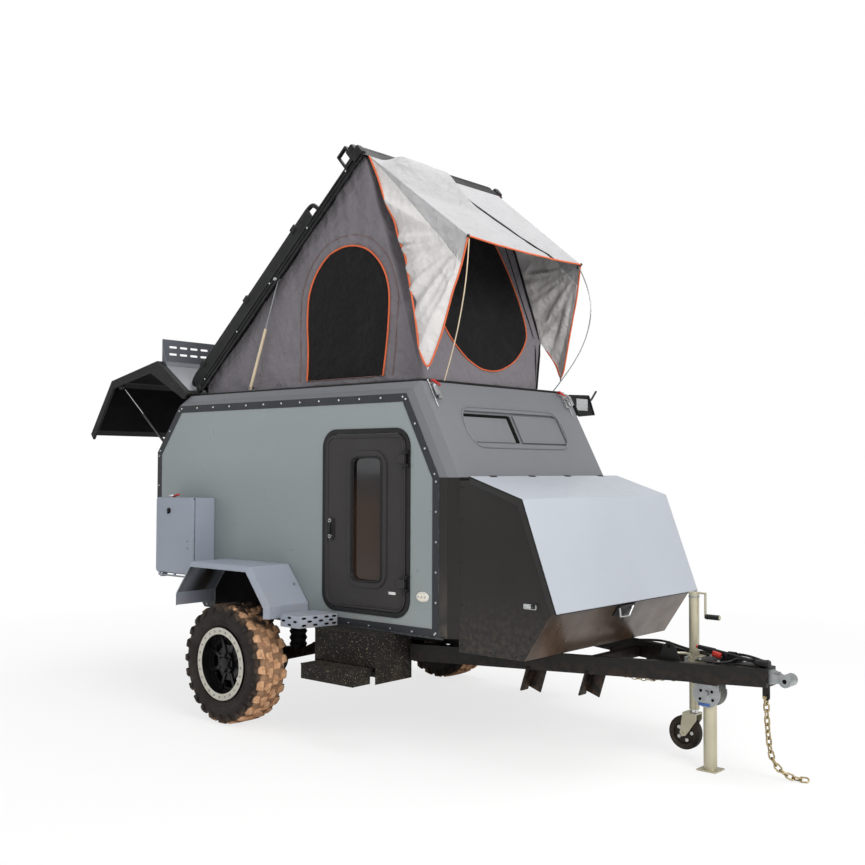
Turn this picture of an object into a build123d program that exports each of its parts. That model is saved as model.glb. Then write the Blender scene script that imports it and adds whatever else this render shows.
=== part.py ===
from build123d import *
import os
from math import cos, hypot, radians, sin

os.makedirs("parts", exist_ok=True)

# Folding camper trailer. Millimetres, +X towards the coupling, +Y left, +Z up.
# The origin is on the ground under the middle of the whole object; the wheels' axis is at axle_x.

# Driving dimensions
axle_x = -630.6
tyre_radius = 400.0
tyre_width = 270.0
body_half = 860.0
wheel_y = body_half + 242.0
core_half = body_half - 60.0
panel_thick = 25.0
roof_z = 2252.0
panel_top_z = 2175.0
floor_z = 693.0
front_knee_z = 1660.0
rear_knee_z = 1828.0
drawbar_top_z = 612.0
drawbar_depth = 104.0
coupling_x = axle_x + 3398.0
coupling_z = 552.0
clearance = 0.3
moving_gap = 5.0
standing = (Align.CENTER, Align.CENTER, Align.MIN)


def save(builder, label):
    builder.part.label = label
    export_step(builder.part, f"parts/{label}.step")


def save_mirrored(builder, label):
    """Writes the other side's piece, the mirror image across the middle plane."""
    with BuildPart() as other:
        mirror(builder.part, about=Plane.XZ)
    save(other, label)


def side_plane(y):
    """A drawing plane across Y: its first axis is X, its second is Z, and it faces -Y."""
    return Plane.XZ.offset(-y)


def draw(points, mode=Mode.ADD):
    Polygon(*points, align=None, mode=mode)


def turn(point, centre, angle):
    """The point turned about a centre, in degrees from +X towards +Z."""
    x = point[0] - centre[0]
    z = point[1] - centre[1]
    c = cos(radians(angle))
    s = sin(radians(angle))
    return (centre[0] + x * c - z * s, centre[1] + x * s + z * c)


def parallel(points, distance):
    """The open polyline moved to the left of its direction."""
    moved = []
    for k, (x, z) in enumerate(points):
        steps = []
        for a, b in ((k - 1, k), (k, k + 1)):
            if a >= 0 and b < len(points):
                dx = points[b][0] - points[a][0]
                dz = points[b][1] - points[a][1]
                steps.append((-dz / hypot(dx, dz), dx / hypot(dx, dz)))
        first = steps[0]
        last = steps[-1]
        scale = distance / (1.0 + first[0] * last[0] + first[1] * last[1])
        moved.append((x + (first[0] + last[0]) * scale, z + (first[1] + last[1]) * scale))
    return moved


def band(points, thick):
    """A closed strip between the polyline and its parallel."""
    return points + parallel(points, thick)[::-1]


# The side profile, from the rear top corner round by the rear, the floor and the front
rear_x = axle_x - 1259.0
rear_top_x = axle_x - 985.0
tail_x = axle_x - 657.0
front_panel_x = axle_x + 1608.0
front_x = axle_x + 1715.0
front_slope_run = 0.519
rear_lip = (axle_x - 912.0, 959.0)
rear_low = (rear_x, 1320.0)
rear_slope_run = (rear_top_x - rear_x) / (panel_top_z - rear_knee_z)
front_panel_top_x = front_panel_x - (panel_top_z - front_knee_z) * front_slope_run
front_top_x = front_x - (roof_z - front_knee_z) * front_slope_run
roof_rear_x = rear_top_x + (roof_z - panel_top_z) * rear_slope_run

side_profile = [
    (rear_top_x, panel_top_z),
    (rear_x, rear_knee_z),
    rear_low,
    rear_lip,
    (tail_x, floor_z),
    (front_panel_x, floor_z),
    (front_panel_x, front_knee_z),
    (front_panel_top_x, panel_top_z),
]
core_profile = [
    (roof_rear_x, roof_z),
    (rear_x, rear_knee_z),
    rear_low,
    rear_lip,
    (tail_x, floor_z),
    (front_x, floor_z),
    (front_x, front_knee_z),
    (front_top_x, roof_z),
]

# The hollow inside: the core's wall thickness in the middle, thinner towards the side panels
wall = 30.0
rear_reach = 120.0
hollow_core = [
    (roof_rear_x - rear_reach, roof_z - wall),
    (rear_x - rear_reach, rear_knee_z),
    (rear_low[0] - rear_reach, rear_low[1]),
    (rear_lip[0] - rear_reach, rear_lip[1] + 0.5 * wall),
    (rear_lip[0] + 0.5 * wall, rear_lip[1] + 0.5 * wall),
    (tail_x + 0.7 * wall, floor_z + wall),
    (front_x - wall, floor_z + wall),
    (front_x - wall, front_knee_z - 0.3 * wall),
    (front_top_x - 0.8 * wall, roof_z - wall),
]
hollow_side = [
    (rear_top_x - rear_reach, panel_top_z - 0.3 * wall),
    (rear_x - rear_reach, rear_knee_z),
    (rear_low[0] - rear_reach, rear_low[1]),
    (rear_lip[0] - rear_reach, rear_lip[1] + 0.5 * wall),
    (rear_lip[0] + 0.5 * wall, rear_lip[1] + 0.5 * wall),
    (tail_x + 0.7 * wall, floor_z + wall),
    (front_panel_x - 0.3 * wall, floor_z + wall),
    (front_panel_x - 0.3 * wall, front_knee_z - 0.1 * wall),
    (front_panel_top_x - 0.3 * wall, panel_top_z - 0.3 * wall),
]
hollow_core_half = core_half - wall
panel_in = body_half - panel_thick

with BuildPart() as whole_body:
    with BuildSketch(side_plane(-core_half)):
        draw(core_profile)
    extrude(amount=-2.0 * core_half)
    for side in (-1, 1):
        with BuildSketch(side_plane(side * core_half)):
            draw(core_profile)
        with BuildSketch(side_plane(side * body_half)):
            draw(side_profile)
        loft(ruled=True)

# Front window, a shuttered opening in the sloping front
window_half = core_half - 240.0
window_low = 0.30
window_high = 0.76
slope_len = hypot(front_x - front_top_x, roof_z - front_knee_z)
slope_dir = Vector((front_top_x - front_x) / slope_len, 0, (roof_z - front_knee_z) / slope_len)
slope_out = Vector(slope_dir.Z, 0, -slope_dir.X)
window_foot = Vector(front_x, 0, front_knee_z) + slope_dir * (slope_len * window_low)
window_height = slope_len * (window_high - window_low)
window_centre = window_foot + slope_dir * (0.5 * window_height)
front_slope = Plane(origin=window_centre, x_dir=(0, 1, 0), z_dir=slope_out)
window_radius = 90.0

with BuildPart() as cabin_shell:
    add(whole_body.part)
    with BuildSketch(side_plane(-hollow_core_half)):
        draw(hollow_core)
    extrude(amount=-2.0 * hollow_core_half, mode=Mode.SUBTRACT)
    with BuildSketch(side_plane(-panel_in)):
        draw(hollow_side)
    extrude(amount=-2.0 * panel_in, mode=Mode.SUBTRACT)
    for side in (-1, 1):
        with Locations((0, side * (panel_in + 100.0), 1500)):
            Box(8000, 200.0, 4000, mode=Mode.SUBTRACT)
    with BuildSketch(front_slope):
        RectangleRounded(2.0 * window_half, window_height, window_radius)
    extrude(amount=200, both=True, mode=Mode.SUBTRACT)
save(cabin_shell, "cabin_shell")

# Front window: a frame in the opening and a fixed panel that leaves a dark slot
window_rim = 34.0
with BuildPart() as front_window:
    with BuildSketch(front_slope.offset(-wall)):
        RectangleRounded(2.0 * (window_half - clearance), window_height - 2.0 * clearance, window_radius)
    extrude(amount=wall)
    with BuildSketch(front_slope.offset(-wall)):
        RectangleRounded(
            2.0 * (window_half - window_rim), window_height - 2.0 * window_rim, window_radius - window_rim)
    extrude(amount=wall, mode=Mode.SUBTRACT)
    with BuildSketch(front_slope.offset(-wall + 6.0)):
        RectangleRounded(
            2.0 * (window_half - window_rim), window_height - 2.0 * window_rim, window_radius - window_rim)
    extrude(amount=6.0)
save(front_window, "front_window")

# Doors: rounded leaves in ring frames, hinged at their front edge
door_rear_x = axle_x + 597.0
door_front_x = axle_x + 1375.0
door_low_z = 783.0
door_high_z = 1962.0
door_radius = 120.0
frame_width = 30.0
leaf_gap = 5.0
leaf_thick = 28.0
leaf_proud = 12.0
door_mid_x = 0.5 * (door_rear_x + door_front_x)
door_mid_z = 0.5 * (door_low_z + door_high_z)
door_long = door_front_x - door_rear_x
door_tall = door_high_z - door_low_z
leaf_long = door_long - 2.0 * (frame_width + leaf_gap)
leaf_tall = door_tall - 2.0 * (frame_width + leaf_gap)
leaf_radius = door_radius - frame_width - leaf_gap
glass_long = 258.0
glass_tall = 780.0
glass_mid = (axle_x + 1013.0, 1387.0)
glass_radius = 60.0
surround = 44.0


def rounded(mid, long, tall, radius):
    with Locations(mid):
        RectangleRounded(long, tall, radius)


door_mid = (door_mid_x, door_mid_z)
door_axis = (door_front_x - frame_width - 2.0, -body_half - 28.0)
door_hinges = (1000.0, 1768.0)
door_rod = 5.0
with BuildPart() as side_panel:
    add(whole_body.part)
    with Locations((0, 2000 - panel_in, 1500)):
        Box(8000, 4000, 4000, mode=Mode.SUBTRACT)
    with BuildSketch(side_plane(0)):
        rounded(door_mid, door_long, door_tall, door_radius)
    extrude(amount=2.0 * body_half, mode=Mode.SUBTRACT)
save(side_panel, "side_panel_right")
save_mirrored(side_panel, "side_panel_left")

with BuildPart() as door_frame:
    with BuildSketch(side_plane(-panel_in)):
        rounded(door_mid, door_long - 2.0 * clearance, door_tall - 2.0 * clearance, door_radius)
        with Locations(door_mid):
            RectangleRounded(
                door_long - 2.0 * frame_width, door_tall - 2.0 * frame_width, door_radius - frame_width,
                mode=Mode.SUBTRACT)
    extrude(amount=panel_thick + 0.5 * leaf_proud)
    for z in door_hinges:
        for end in (-1, 1):
            with Locations((door_axis[0], door_axis[1], z + end * 40.0)):
                Box(24.0, 26.0, 22.0, align=(Align.MIN, Align.MIN, Align.CENTER))
                Cylinder(10.0, 22.0)
                Cylinder(door_rod + clearance, 40.0, mode=Mode.SUBTRACT)
with BuildPart() as door_frames:
    add(door_frame.part)
    mirror(door_frame.part, about=Plane.XZ)
save(door_frames, "door_frames")

leaf_in = body_half + leaf_proud - leaf_thick
handle_x = door_rear_x + 92.0
handle_z = 1312.0
with BuildPart() as door_leaf:
    with BuildSketch(side_plane(-leaf_in)):
        rounded(door_mid, leaf_long, leaf_tall, leaf_radius)
    extrude(amount=leaf_thick)
    with BuildSketch(side_plane(-leaf_in - leaf_thick)):
        rounded(glass_mid, glass_long + 2.0 * surround, glass_tall + 2.0 * surround, glass_radius + surround)
    extrude(amount=8.0)
    with BuildSketch(side_plane(-leaf_in)):
        rounded(glass_mid, glass_long, glass_tall, glass_radius)
    extrude(amount=leaf_thick + 8.0, mode=Mode.SUBTRACT)
    with BuildSketch(side_plane(-leaf_in - leaf_thick)):
        rounded((handle_x, handle_z), 46.0, 150.0, 22.0)
    extrude(amount=10.0)
    for z in door_hinges:
        with Locations((door_axis[0] + 3.0, door_axis[1] - 1.0, z)):
            Box(58.0, 20.0, 56.0, align=(Align.MAX, Align.MIN, Align.CENTER))
        with Locations((door_axis[0], door_axis[1], z)):
            Cylinder(door_rod, 104.0)
save(door_leaf, "door_leaf_right")
save_mirrored(door_leaf, "door_leaf_left")

with BuildPart() as door_glass:
    with BuildSketch(side_plane(-leaf_in - 10.0)):
        rounded(glass_mid, glass_long - clearance, glass_tall - clearance, glass_radius)
    extrude(amount=6.0)
save(door_glass, "door_glass_right")
save_mirrored(door_glass, "door_glass_left")

# Riveted trim round each side panel
trim_width = 52.0
trim_proud = 3.0
with BuildPart() as trim:
    with BuildSketch(side_plane(-body_half)):
        draw(side_profile)
        offset(amount=-trim_width, kind=Kind.INTERSECTION, mode=Mode.SUBTRACT)
    extrude(amount=trim_proud)
with BuildPart() as panel_trim:
    add(trim.part)
    mirror(trim.part, about=Plane.XZ)
save(panel_trim, "panel_trim")

# Nose box on the front wall, open at the top and front under its lid
nose_half = core_half
nose_wall = 15.0
nose_low_z = 618.0
nose_floor_x = axle_x + 2195.0
nose_tip = (axle_x + 2379.0, 895.0)
lid_half = nose_half + 22.0
lid_rear = (axle_x + 1811.0, 1663.5)
lid_fold = (axle_x + 2197.0, 1536.0)
lid_front = (axle_x + 2431.0, 905.0)
lid_thick = 12.0
fall_dir = Vector(lid_front[0] - lid_fold[0], 0, lid_front[1] - lid_fold[1]).normalized()
lid_drop = 26.0
lid_axis = (lid_rear[0], lid_rear[1] - 6.0)
nose_knuckles = (-0.75 * nose_half, -0.25 * nose_half, 0.25 * nose_half, 0.75 * nose_half)
hinge_rod = 6.0
back_x = front_x + clearance
fall_run = fall_dir.X / fall_dir.Z
nose_profile = [
    (back_x, lid_rear[1] - lid_drop),
    (back_x, nose_low_z),
    (nose_floor_x, nose_low_z),
    nose_tip,
    (lid_fold[0] + (lid_fold[1] - nose_tip[1]) * -fall_run - lid_drop, nose_tip[1] + 4.0),
    (lid_fold[0] - 0.75 * lid_drop, lid_fold[1] - lid_drop),
    (lid_rear[0], lid_rear[1] - lid_drop),
]
with BuildPart() as nose_box:
    with BuildSketch(side_plane(-nose_half)):
        draw(nose_profile)
    extrude(amount=-2.0 * nose_half)
    with BuildSketch(side_plane(-nose_half + nose_wall)):
        draw([
            (back_x + nose_wall, lid_rear[1] + 100.0),
            (back_x + nose_wall, nose_low_z + nose_wall),
            (nose_floor_x - 0.6 * nose_wall, nose_low_z + nose_wall),
            (nose_tip[0] - 1.2 * nose_wall, nose_tip[1] - 0.1 * nose_wall),
            (nose_tip[0] - 1.2 * nose_wall, nose_tip[1] + 60.0),
            (lid_front[0] + 200.0, nose_tip[1] + 60.0),
            (lid_front[0] + 200.0, lid_rear[1] + 100.0),
        ])
    extrude(amount=-2.0 * (nose_half - nose_wall), mode=Mode.SUBTRACT)
    with Locations((back_x, 0, lid_rear[1] - lid_drop)):
        Box(lid_rear[0] - back_x, 2.0 * nose_half, 12.0, align=(Align.MIN, Align.CENTER, Align.MAX))
    for y in nose_knuckles:
        with Locations((lid_axis[0], y, lid_axis[1])):
            Box(13.0, 60.0, lid_axis[1] - lid_rear[1] + lid_drop + 6.0,
                align=(Align.MAX, Align.CENTER, Align.MAX))
        with Locations(Location((lid_axis[0], y, lid_axis[1]), (90, 0, 0))):
            Cylinder(10.5, 60.0)
            Cylinder(hinge_rod + clearance, 80.0, mode=Mode.SUBTRACT)
save(nose_box, "nose_box")

# Nose lid: two folded panels with side skirts, hinged along its rear edge
lid_skirt = 42.0
with BuildPart() as nose_lid:
    with BuildSketch(side_plane(-lid_half)):
        draw([
            lid_rear,
            (lid_rear[0], lid_rear[1] - lid_thick),
            (lid_fold[0] - 0.7 * lid_thick, lid_fold[1] - lid_thick),
            (lid_front[0] - lid_thick, lid_front[1]),
            lid_front,
            lid_fold,
        ])
    extrude(amount=-2.0 * lid_half)
    for side in (-1, 1):
        with BuildSketch(side_plane(side * (lid_half - 6.0))):
            draw([
                lid_rear,
                (lid_rear[0], lid_rear[1] - lid_skirt),
                (lid_fold[0] - 0.7 * lid_skirt, lid_fold[1] - lid_skirt),
                (lid_front[0] - lid_skirt, lid_front[1]),
                lid_front,
                lid_fold,
            ])
        extrude(amount=-6.0 * side)
    for y in nose_knuckles:
        with Locations((lid_axis[0], y, lid_axis[1])):
            Box(32.0, 70.0, 80.0, mode=Mode.SUBTRACT)
    with Locations(Location((lid_axis[0], 0, lid_axis[1]), (90, 0, 0))):
        Cylinder(hinge_rod, 2.0 * lid_half)
save(nose_lid, "nose_lid")

# Chassis under the floor
rail_y = body_half - 300.0
rail_width = 50.0
chassis_top_z = floor_z - clearance
chassis_rear_x = axle_x - 640.0
chassis_front_x = axle_x + 1700.0
pivot_x = axle_x + 430.0
pivot_z = 500.0
pivot_radius = 40.0
spring_x = axle_x + 225.0
spring_y = body_half - 125.0
# Cross members: rear edge, half length
cross_members = [
    (chassis_rear_x, rail_y + 120.0),
    (axle_x - 330.0, rail_y + 120.0),
    (spring_x - 0.5 * rail_width, spring_y + 55.0),
    (axle_x + 820.0, rail_y + 120.0),
    (chassis_front_x - rail_width, rail_y + 120.0),
]
with BuildPart() as chassis_frame:
    for side in (-1, 1):
        with Locations((chassis_rear_x, side * rail_y, chassis_top_z)):
            Box(chassis_front_x - chassis_rear_x, rail_width, chassis_top_z - drawbar_top_z,
                align=(Align.MIN, Align.CENTER, Align.MAX))
    for x, half in cross_members:
        with Locations((x, 0, chassis_top_z)):
            Box(rail_width, 2.0 * half, chassis_top_z - drawbar_top_z,
                align=(Align.MIN, Align.CENTER, Align.MAX))
    for side in (-1, 1):
        with Locations((pivot_x, side * (rail_y + 70.0), chassis_top_z)):
            Box(90, 150, chassis_top_z - pivot_z - pivot_radius - clearance,
                align=(Align.CENTER, Align.CENTER, Align.MAX))
    with Locations((chassis_rear_x + 1.0, 0, chassis_top_z)):
        Box(61.0, 2.0 * (core_half - 20.0), 84.0, align=(Align.MAX, Align.CENTER, Align.MAX))
save(chassis_frame, "chassis_frame")

# Safety chain's sizes; a link leans by the angle below the level
wire = 10.0
link_wide = 38.0
link_long = 58.0
link_gap = 0.5
bend = 0.5 * (link_wide - wire)
straight = link_long - link_wide
pitch = link_long - 2.0 * wire - link_gap
leans = [88.0, 88.0, 87.0, 86.0, 85.0, 84.0, 81.0, 75.0, 62.0, 48.0, 34.0, 20.0, 6.0, 0.0]
rolled_link = 8
chain_heading = radians(20.0)
link_low = bend * sin(radians(45)) + 0.5 * wire + 1.0
chain_x = axle_x + 3282.0
chain_y = -24.0
chain_top = Vector(chain_x, chain_y, link_low + pitch * sum(sin(radians(lean)) for lean in leans))
lug_pin_z = chain_top.Z + 37.0
lug_thick = 12.0
shackle_wire = 12.0
shackle_pin = 6.0
bow_radius = 18.0

# Drawbar: two rails that run forward to a closed nose
beam_half_front = 62.0
beam_front_x = axle_x + 3300.0
beam_seam_x = axle_x + 2994.0
rail_slope = 0.33
beam_thick = 50.0
drawbar_rear_x = axle_x + 1262.0
belly_rear_x = axle_x + 2862.0


def rail_edge(x):
    """Outer edge of the drawbar's rail at x, measured from the middle plane."""
    return beam_half_front + (beam_front_x - x) * rail_slope


seam_half = rail_edge(beam_seam_x)
inner_step = beam_thick * hypot(1.0, rail_slope)
drawbar_low_z = drawbar_top_z - drawbar_depth
with BuildPart() as drawbar:
    for side in (-1, 1):
        with BuildSketch(Plane.XY.offset(drawbar_low_z)):
            draw([
                (drawbar_rear_x, side * rail_edge(drawbar_rear_x)),
                (beam_seam_x + 40.0, side * rail_edge(beam_seam_x + 40.0)),
                (beam_seam_x + 40.0, side * (rail_edge(beam_seam_x + 40.0) - inner_step)),
                (drawbar_rear_x, side * (rail_edge(drawbar_rear_x) - inner_step)),
            ])
        extrude(amount=drawbar_depth - clearance)
    with BuildSketch(Plane.XY.offset(drawbar_low_z)):
        draw([
            (beam_seam_x, seam_half),
            (beam_front_x, beam_half_front),
            (beam_front_x, -beam_half_front),
            (beam_seam_x, -seam_half),
        ])
    extrude(amount=drawbar_depth - clearance)
    for x in (axle_x + 2230.0, axle_x + 1320.0):
        with Locations((x, 0, drawbar_low_z)):
            Box(60, 2.0 * (rail_edge(x) - 0.5 * inner_step), 60, align=standing)
    with BuildSketch(Plane.XY.offset(drawbar_low_z)):
        draw([
            (belly_rear_x, rail_edge(belly_rear_x) - 10.0),
            (beam_seam_x + 20.0, seam_half - 10.0),
            (beam_seam_x + 20.0, 10.0 - seam_half),
            (belly_rear_x, 10.0 - rail_edge(belly_rear_x)),
        ])
    extrude(amount=6.0)
    with Locations((chain_x, chain_y, drawbar_low_z + 10.0)):
        Box(40.0, lug_thick, drawbar_low_z + 10.0 - lug_pin_z, align=(Align.CENTER, Align.CENTER, Align.MAX))
    with Locations(Location((chain_x, chain_y, lug_pin_z), (90, 0, 0))):
        Cylinder(20.0, lug_thick)
        Cylinder(shackle_pin + clearance, 2.0 * lug_thick, mode=Mode.SUBTRACT)
save(drawbar, "drawbar")

# Coupling: a bushed eye on a stub at the drawbar's nose
eye_radius = 35.0
eye_length = 96.0
eye_bore = 12.5
with BuildPart() as coupling_eye:
    with BuildSketch(side_plane(-0.5 * eye_length)):
        with Locations((coupling_x, coupling_z)):
            Circle(eye_radius)
            Circle(eye_bore, mode=Mode.SUBTRACT)
    extrude(amount=-eye_length)
    with BuildSketch(side_plane(-0.5 * eye_length + 12.0)):
        draw([
            (beam_front_x + clearance, drawbar_top_z - 12.0),
            (beam_front_x + clearance, drawbar_low_z + 14.0),
            (coupling_x - 0.86 * eye_radius, coupling_z - 0.5 * eye_radius),
            (coupling_x - 0.86 * eye_radius, coupling_z + 0.5 * eye_radius),
        ])
    extrude(amount=-eye_length + 24.0)
save(coupling_eye, "coupling_eye")

# Safety chain: round-wire links on a shackle, hanging down and then lying on the ground
link_places = []
joint_point = chain_top
for k, lean in enumerate(leans):
    along = Vector(
        cos(radians(lean)) * cos(chain_heading), cos(radians(lean)) * sin(chain_heading), -sin(radians(lean)))
    next_point = joint_point + along * pitch
    across = (Vector(0, 1, 0) - along * along.Y).normalized()
    roll = 90.0 * k + 45.0 * min(1.0, k / rolled_link)
    across = across.rotate(Axis((0, 0, 0), tuple(along)), roll)
    link_places.append(Plane(origin=(joint_point + next_point) * 0.5, x_dir=along, z_dir=across).location)
    joint_point = next_point

with BuildPart() as chain_link:
    with BuildLine(Plane.XY):
        run = Line((-0.5 * straight, bend), (0.5 * straight, bend))
        CenterArc((0.5 * straight, 0), bend, 90, -180)
        Line((0.5 * straight, -bend), (-0.5 * straight, -bend))
        CenterArc((-0.5 * straight, 0), bend, 270, -180)
    with BuildSketch(Plane(origin=run @ 0, z_dir=run % 0)):
        Circle(0.5 * wire)
    sweep()

bow_z = chain_top.Z + 0.5 * (wire + link_gap) - 0.5 * (wire + shackle_wire) - link_gap
bow_plane = Plane(origin=(chain_x, chain_y, 0), x_dir=(0, 1, 0), z_dir=(1, 0, 0))
with BuildPart() as safety_chain:
    with Locations(*link_places):
        add(chain_link.part)
    with BuildLine(bow_plane):
        leg = Line((-bow_radius, lug_pin_z), (-bow_radius, bow_z + bow_radius))
        CenterArc((0, bow_z + bow_radius), bow_radius, 180, 180)
        Line((bow_radius, bow_z + bow_radius), (bow_radius, lug_pin_z))
    with BuildSketch(Plane(origin=leg @ 0, z_dir=leg % 0)):
        Circle(0.5 * shackle_wire)
    sweep()
    with Locations(Location((chain_x, chain_y, lug_pin_z), (90, 0, 0))):
        Cylinder(shackle_pin, 2.0 * bow_radius + 24.0)
        for end in (-1, 1):
            with Locations((0, 0, end * (bow_radius + 4.0))):
                Cylinder(10.0, 12.0)
save(safety_chain, "safety_chain")

# Drop leg: a round leg that swings up about a pin between two half-round cheeks
leg_x = axle_x + 2964.0
leg_y = -64.0
leg_pin_z = 442.0
leg_radius = 38.0
leg_top = 26.0
leg_pin_radius = 9.0
foot_size = 118.0
foot_thick = 8.0
cheek_thick = 6.0
cheek_radius = 84.0
cheek_step_z = leg_pin_z + 20.0
cheek_gap = 2.0
with BuildPart() as drop_leg:
    with Locations((leg_x, leg_y, foot_thick)):
        Cylinder(leg_radius, leg_pin_z + leg_top - foot_thick, align=standing)
    with Locations((leg_x, leg_y, 0)):
        Box(foot_size, foot_size, foot_thick, align=standing)
    with Locations(Location((leg_x, leg_y, leg_pin_z), (90, 0, 0))):
        Cylinder(leg_pin_radius + clearance, 4.0 * leg_radius, mode=Mode.SUBTRACT)
save(drop_leg, "drop_leg")

with BuildPart() as drop_leg_bracket:
    for side in (-1, 1):
        with BuildSketch(side_plane(leg_y + side * (leg_radius + cheek_gap))):
            with Locations((leg_x, leg_pin_z)):
                Circle(cheek_radius)
                with Locations((0, 20.0 + cheek_radius)):
                    Rectangle(3.0 * cheek_radius, 2.0 * cheek_radius, mode=Mode.SUBTRACT)
            with Locations((leg_x, 0.5 * (drawbar_low_z - clearance + cheek_step_z) - 2.0)):
                Rectangle(1.8 * cheek_radius, drawbar_low_z - clearance - cheek_step_z + 4.0)
        extrude(amount=-side * cheek_thick)
    with Locations(Location((leg_x, leg_y, leg_pin_z), (90, 0, 0))):
        Cylinder(leg_pin_radius, 2.0 * (leg_radius + cheek_gap + cheek_thick) + 16.0)
save(drop_leg_bracket, "drop_leg_bracket")

# Jockey wheel: a clamped outer tube with its crank, an inner tube, a fork and a wheel
jockey_x = axle_x + 2782.0
jockey_y = 98.0
post_radius = 30.0
post_low_z = 292.0
post_high_z = 968.0
inner_radius = 25.0
jockey_wheel_radius = 100.0
jockey_wheel_width = 58.0
jockey_low_z = 48.0
jockey_trail = 58.0
fork_top_z = 272.0
jockey_axle_z = jockey_low_z + jockey_wheel_radius
clamp_low_z = 545.0
clamp_tall = 58.0
crank_drop = 150.0
with BuildPart() as jockey_post:
    with Locations((jockey_x, jockey_y, post_low_z)):
        Cylinder(post_radius, post_high_z - post_low_z, align=standing)
        Cylinder(inner_radius + clearance, 0.8 * (post_high_z - post_low_z),
                 align=standing, mode=Mode.SUBTRACT)
    with Locations((jockey_x, jockey_y, post_high_z)):
        Cylinder(post_radius + 3.0, 14.0, align=standing)
    with Locations((jockey_x + 0.5 * post_radius, jockey_y, post_high_z + 4.0)):
        Box(60.0, 16.0, 10.0, align=(Align.MIN, Align.CENTER, Align.MIN))
    with Locations((jockey_x + 0.5 * post_radius + 54.0, jockey_y, post_high_z + 14.0)):
        Box(8.0, 16.0, crank_drop, align=(Align.MIN, Align.CENTER, Align.MAX))
    with Locations(Location(
            (jockey_x + 0.5 * post_radius + 58.0, jockey_y, post_high_z + 24.0 - crank_drop), (0, 90, 0))):
        Cylinder(13.0, 92.0, align=standing)
    with Locations((jockey_x, jockey_y, clamp_low_z)):
        Cylinder(post_radius + 8.0, clamp_tall, align=standing)
        Cylinder(inner_radius + clearance, clamp_tall,
                 align=standing, mode=Mode.SUBTRACT)
    with BuildSketch(Plane.XY.offset(clamp_low_z)):
        draw([
            (jockey_x - 45.0, jockey_y + 12.0),
            (jockey_x + 45.0, jockey_y + 12.0),
            (jockey_x + 45.0, rail_edge(jockey_x + 45.0) - inner_step - clearance),
            (jockey_x - 45.0, rail_edge(jockey_x - 45.0) - inner_step - clearance),
        ])
        with Locations((jockey_x, jockey_y)):
            Circle(post_radius, mode=Mode.SUBTRACT)
    extrude(amount=clamp_tall)
save(jockey_post, "jockey_post")

with BuildPart() as jockey_tube:
    with Locations((jockey_x, jockey_y, fork_top_z + clearance)):
        Cylinder(inner_radius, 560.0, align=standing)
save(jockey_tube, "jockey_tube")

fork_half = 0.5 * jockey_wheel_width + moving_gap
jockey_axle_x = jockey_x - jockey_trail
with BuildPart() as jockey_fork:
    with Locations((jockey_x - 0.25 * jockey_trail, jockey_y, fork_top_z)):
        Box(88.0, 2.0 * fork_half + 12.0, 8.0, align=(Align.CENTER, Align.CENTER, Align.MAX))
    for side in (-1, 1):
        with BuildSketch(side_plane(jockey_y + side * fork_half)):
            draw([
                (jockey_x - 0.25 * jockey_trail - 44.0, fork_top_z),
                (jockey_axle_x - 20.0, jockey_axle_z),
                (jockey_axle_x - 8.0, jockey_axle_z - 20.0),
                (jockey_axle_x + 20.0, jockey_axle_z - 12.0),
                (jockey_x - 0.25 * jockey_trail + 44.0, fork_top_z - 40.0),
                (jockey_x - 0.25 * jockey_trail + 44.0, fork_top_z),
            ])
        extrude(amount=-side * 6.0)
    with Locations(Location((jockey_axle_x, jockey_y, jockey_axle_z), (90, 0, 0))):
        Cylinder(8.0, 2.0 * fork_half + 24.0)
save(jockey_fork, "jockey_fork")

wheel_plane = Plane(origin=(jockey_axle_x, jockey_y, jockey_axle_z), x_dir=(1, 0, 0), z_dir=(0, -1, 0))
with BuildPart() as jockey_wheel:
    with BuildSketch(wheel_plane.offset(-0.5 * jockey_wheel_width)):
        Circle(jockey_wheel_radius)
    extrude(amount=jockey_wheel_width)
    fillet(jockey_wheel.edges().filter_by(GeomType.CIRCLE), 14.0)
    for end in (-1, 1):
        with BuildSketch(wheel_plane.offset(end * 0.5 * jockey_wheel_width)):
            Circle(66.0)
            Circle(24.0, mode=Mode.SUBTRACT)
        extrude(amount=-end * 16.0, mode=Mode.SUBTRACT)
    with BuildSketch(wheel_plane.offset(-0.5 * jockey_wheel_width)):
        Circle(8.0 + clearance)
    extrude(amount=jockey_wheel_width, mode=Mode.SUBTRACT)
save(jockey_wheel, "jockey_wheel")

# Handbrake lever on the drawbar's nose
brake_x = axle_x + 3050.0
brake_y = 20.0
with BuildPart() as handbrake:
    for side in (-1, 1):
        with BuildSketch(side_plane(brake_y + side * 12.0)):
            draw([
                (brake_x - 60.0, drawbar_top_z),
                (brake_x + 70.0, drawbar_top_z),
                (brake_x + 30.0, drawbar_top_z + 55.0),
                (brake_x - 20.0, drawbar_top_z + 55.0),
            ])
        extrude(amount=-side * 5.0)
    with BuildSketch(side_plane(brake_y - 12.0)):
        draw([
            (brake_x + 20.0, drawbar_top_z + 18.0),
            (brake_x + 26.0, drawbar_top_z + 44.0),
            (brake_x - 190.0, drawbar_top_z + 72.0),
            (brake_x - 192.0, drawbar_top_z + 50.0),
        ])
    extrude(amount=-24.0)
save(handbrake, "handbrake")

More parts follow.
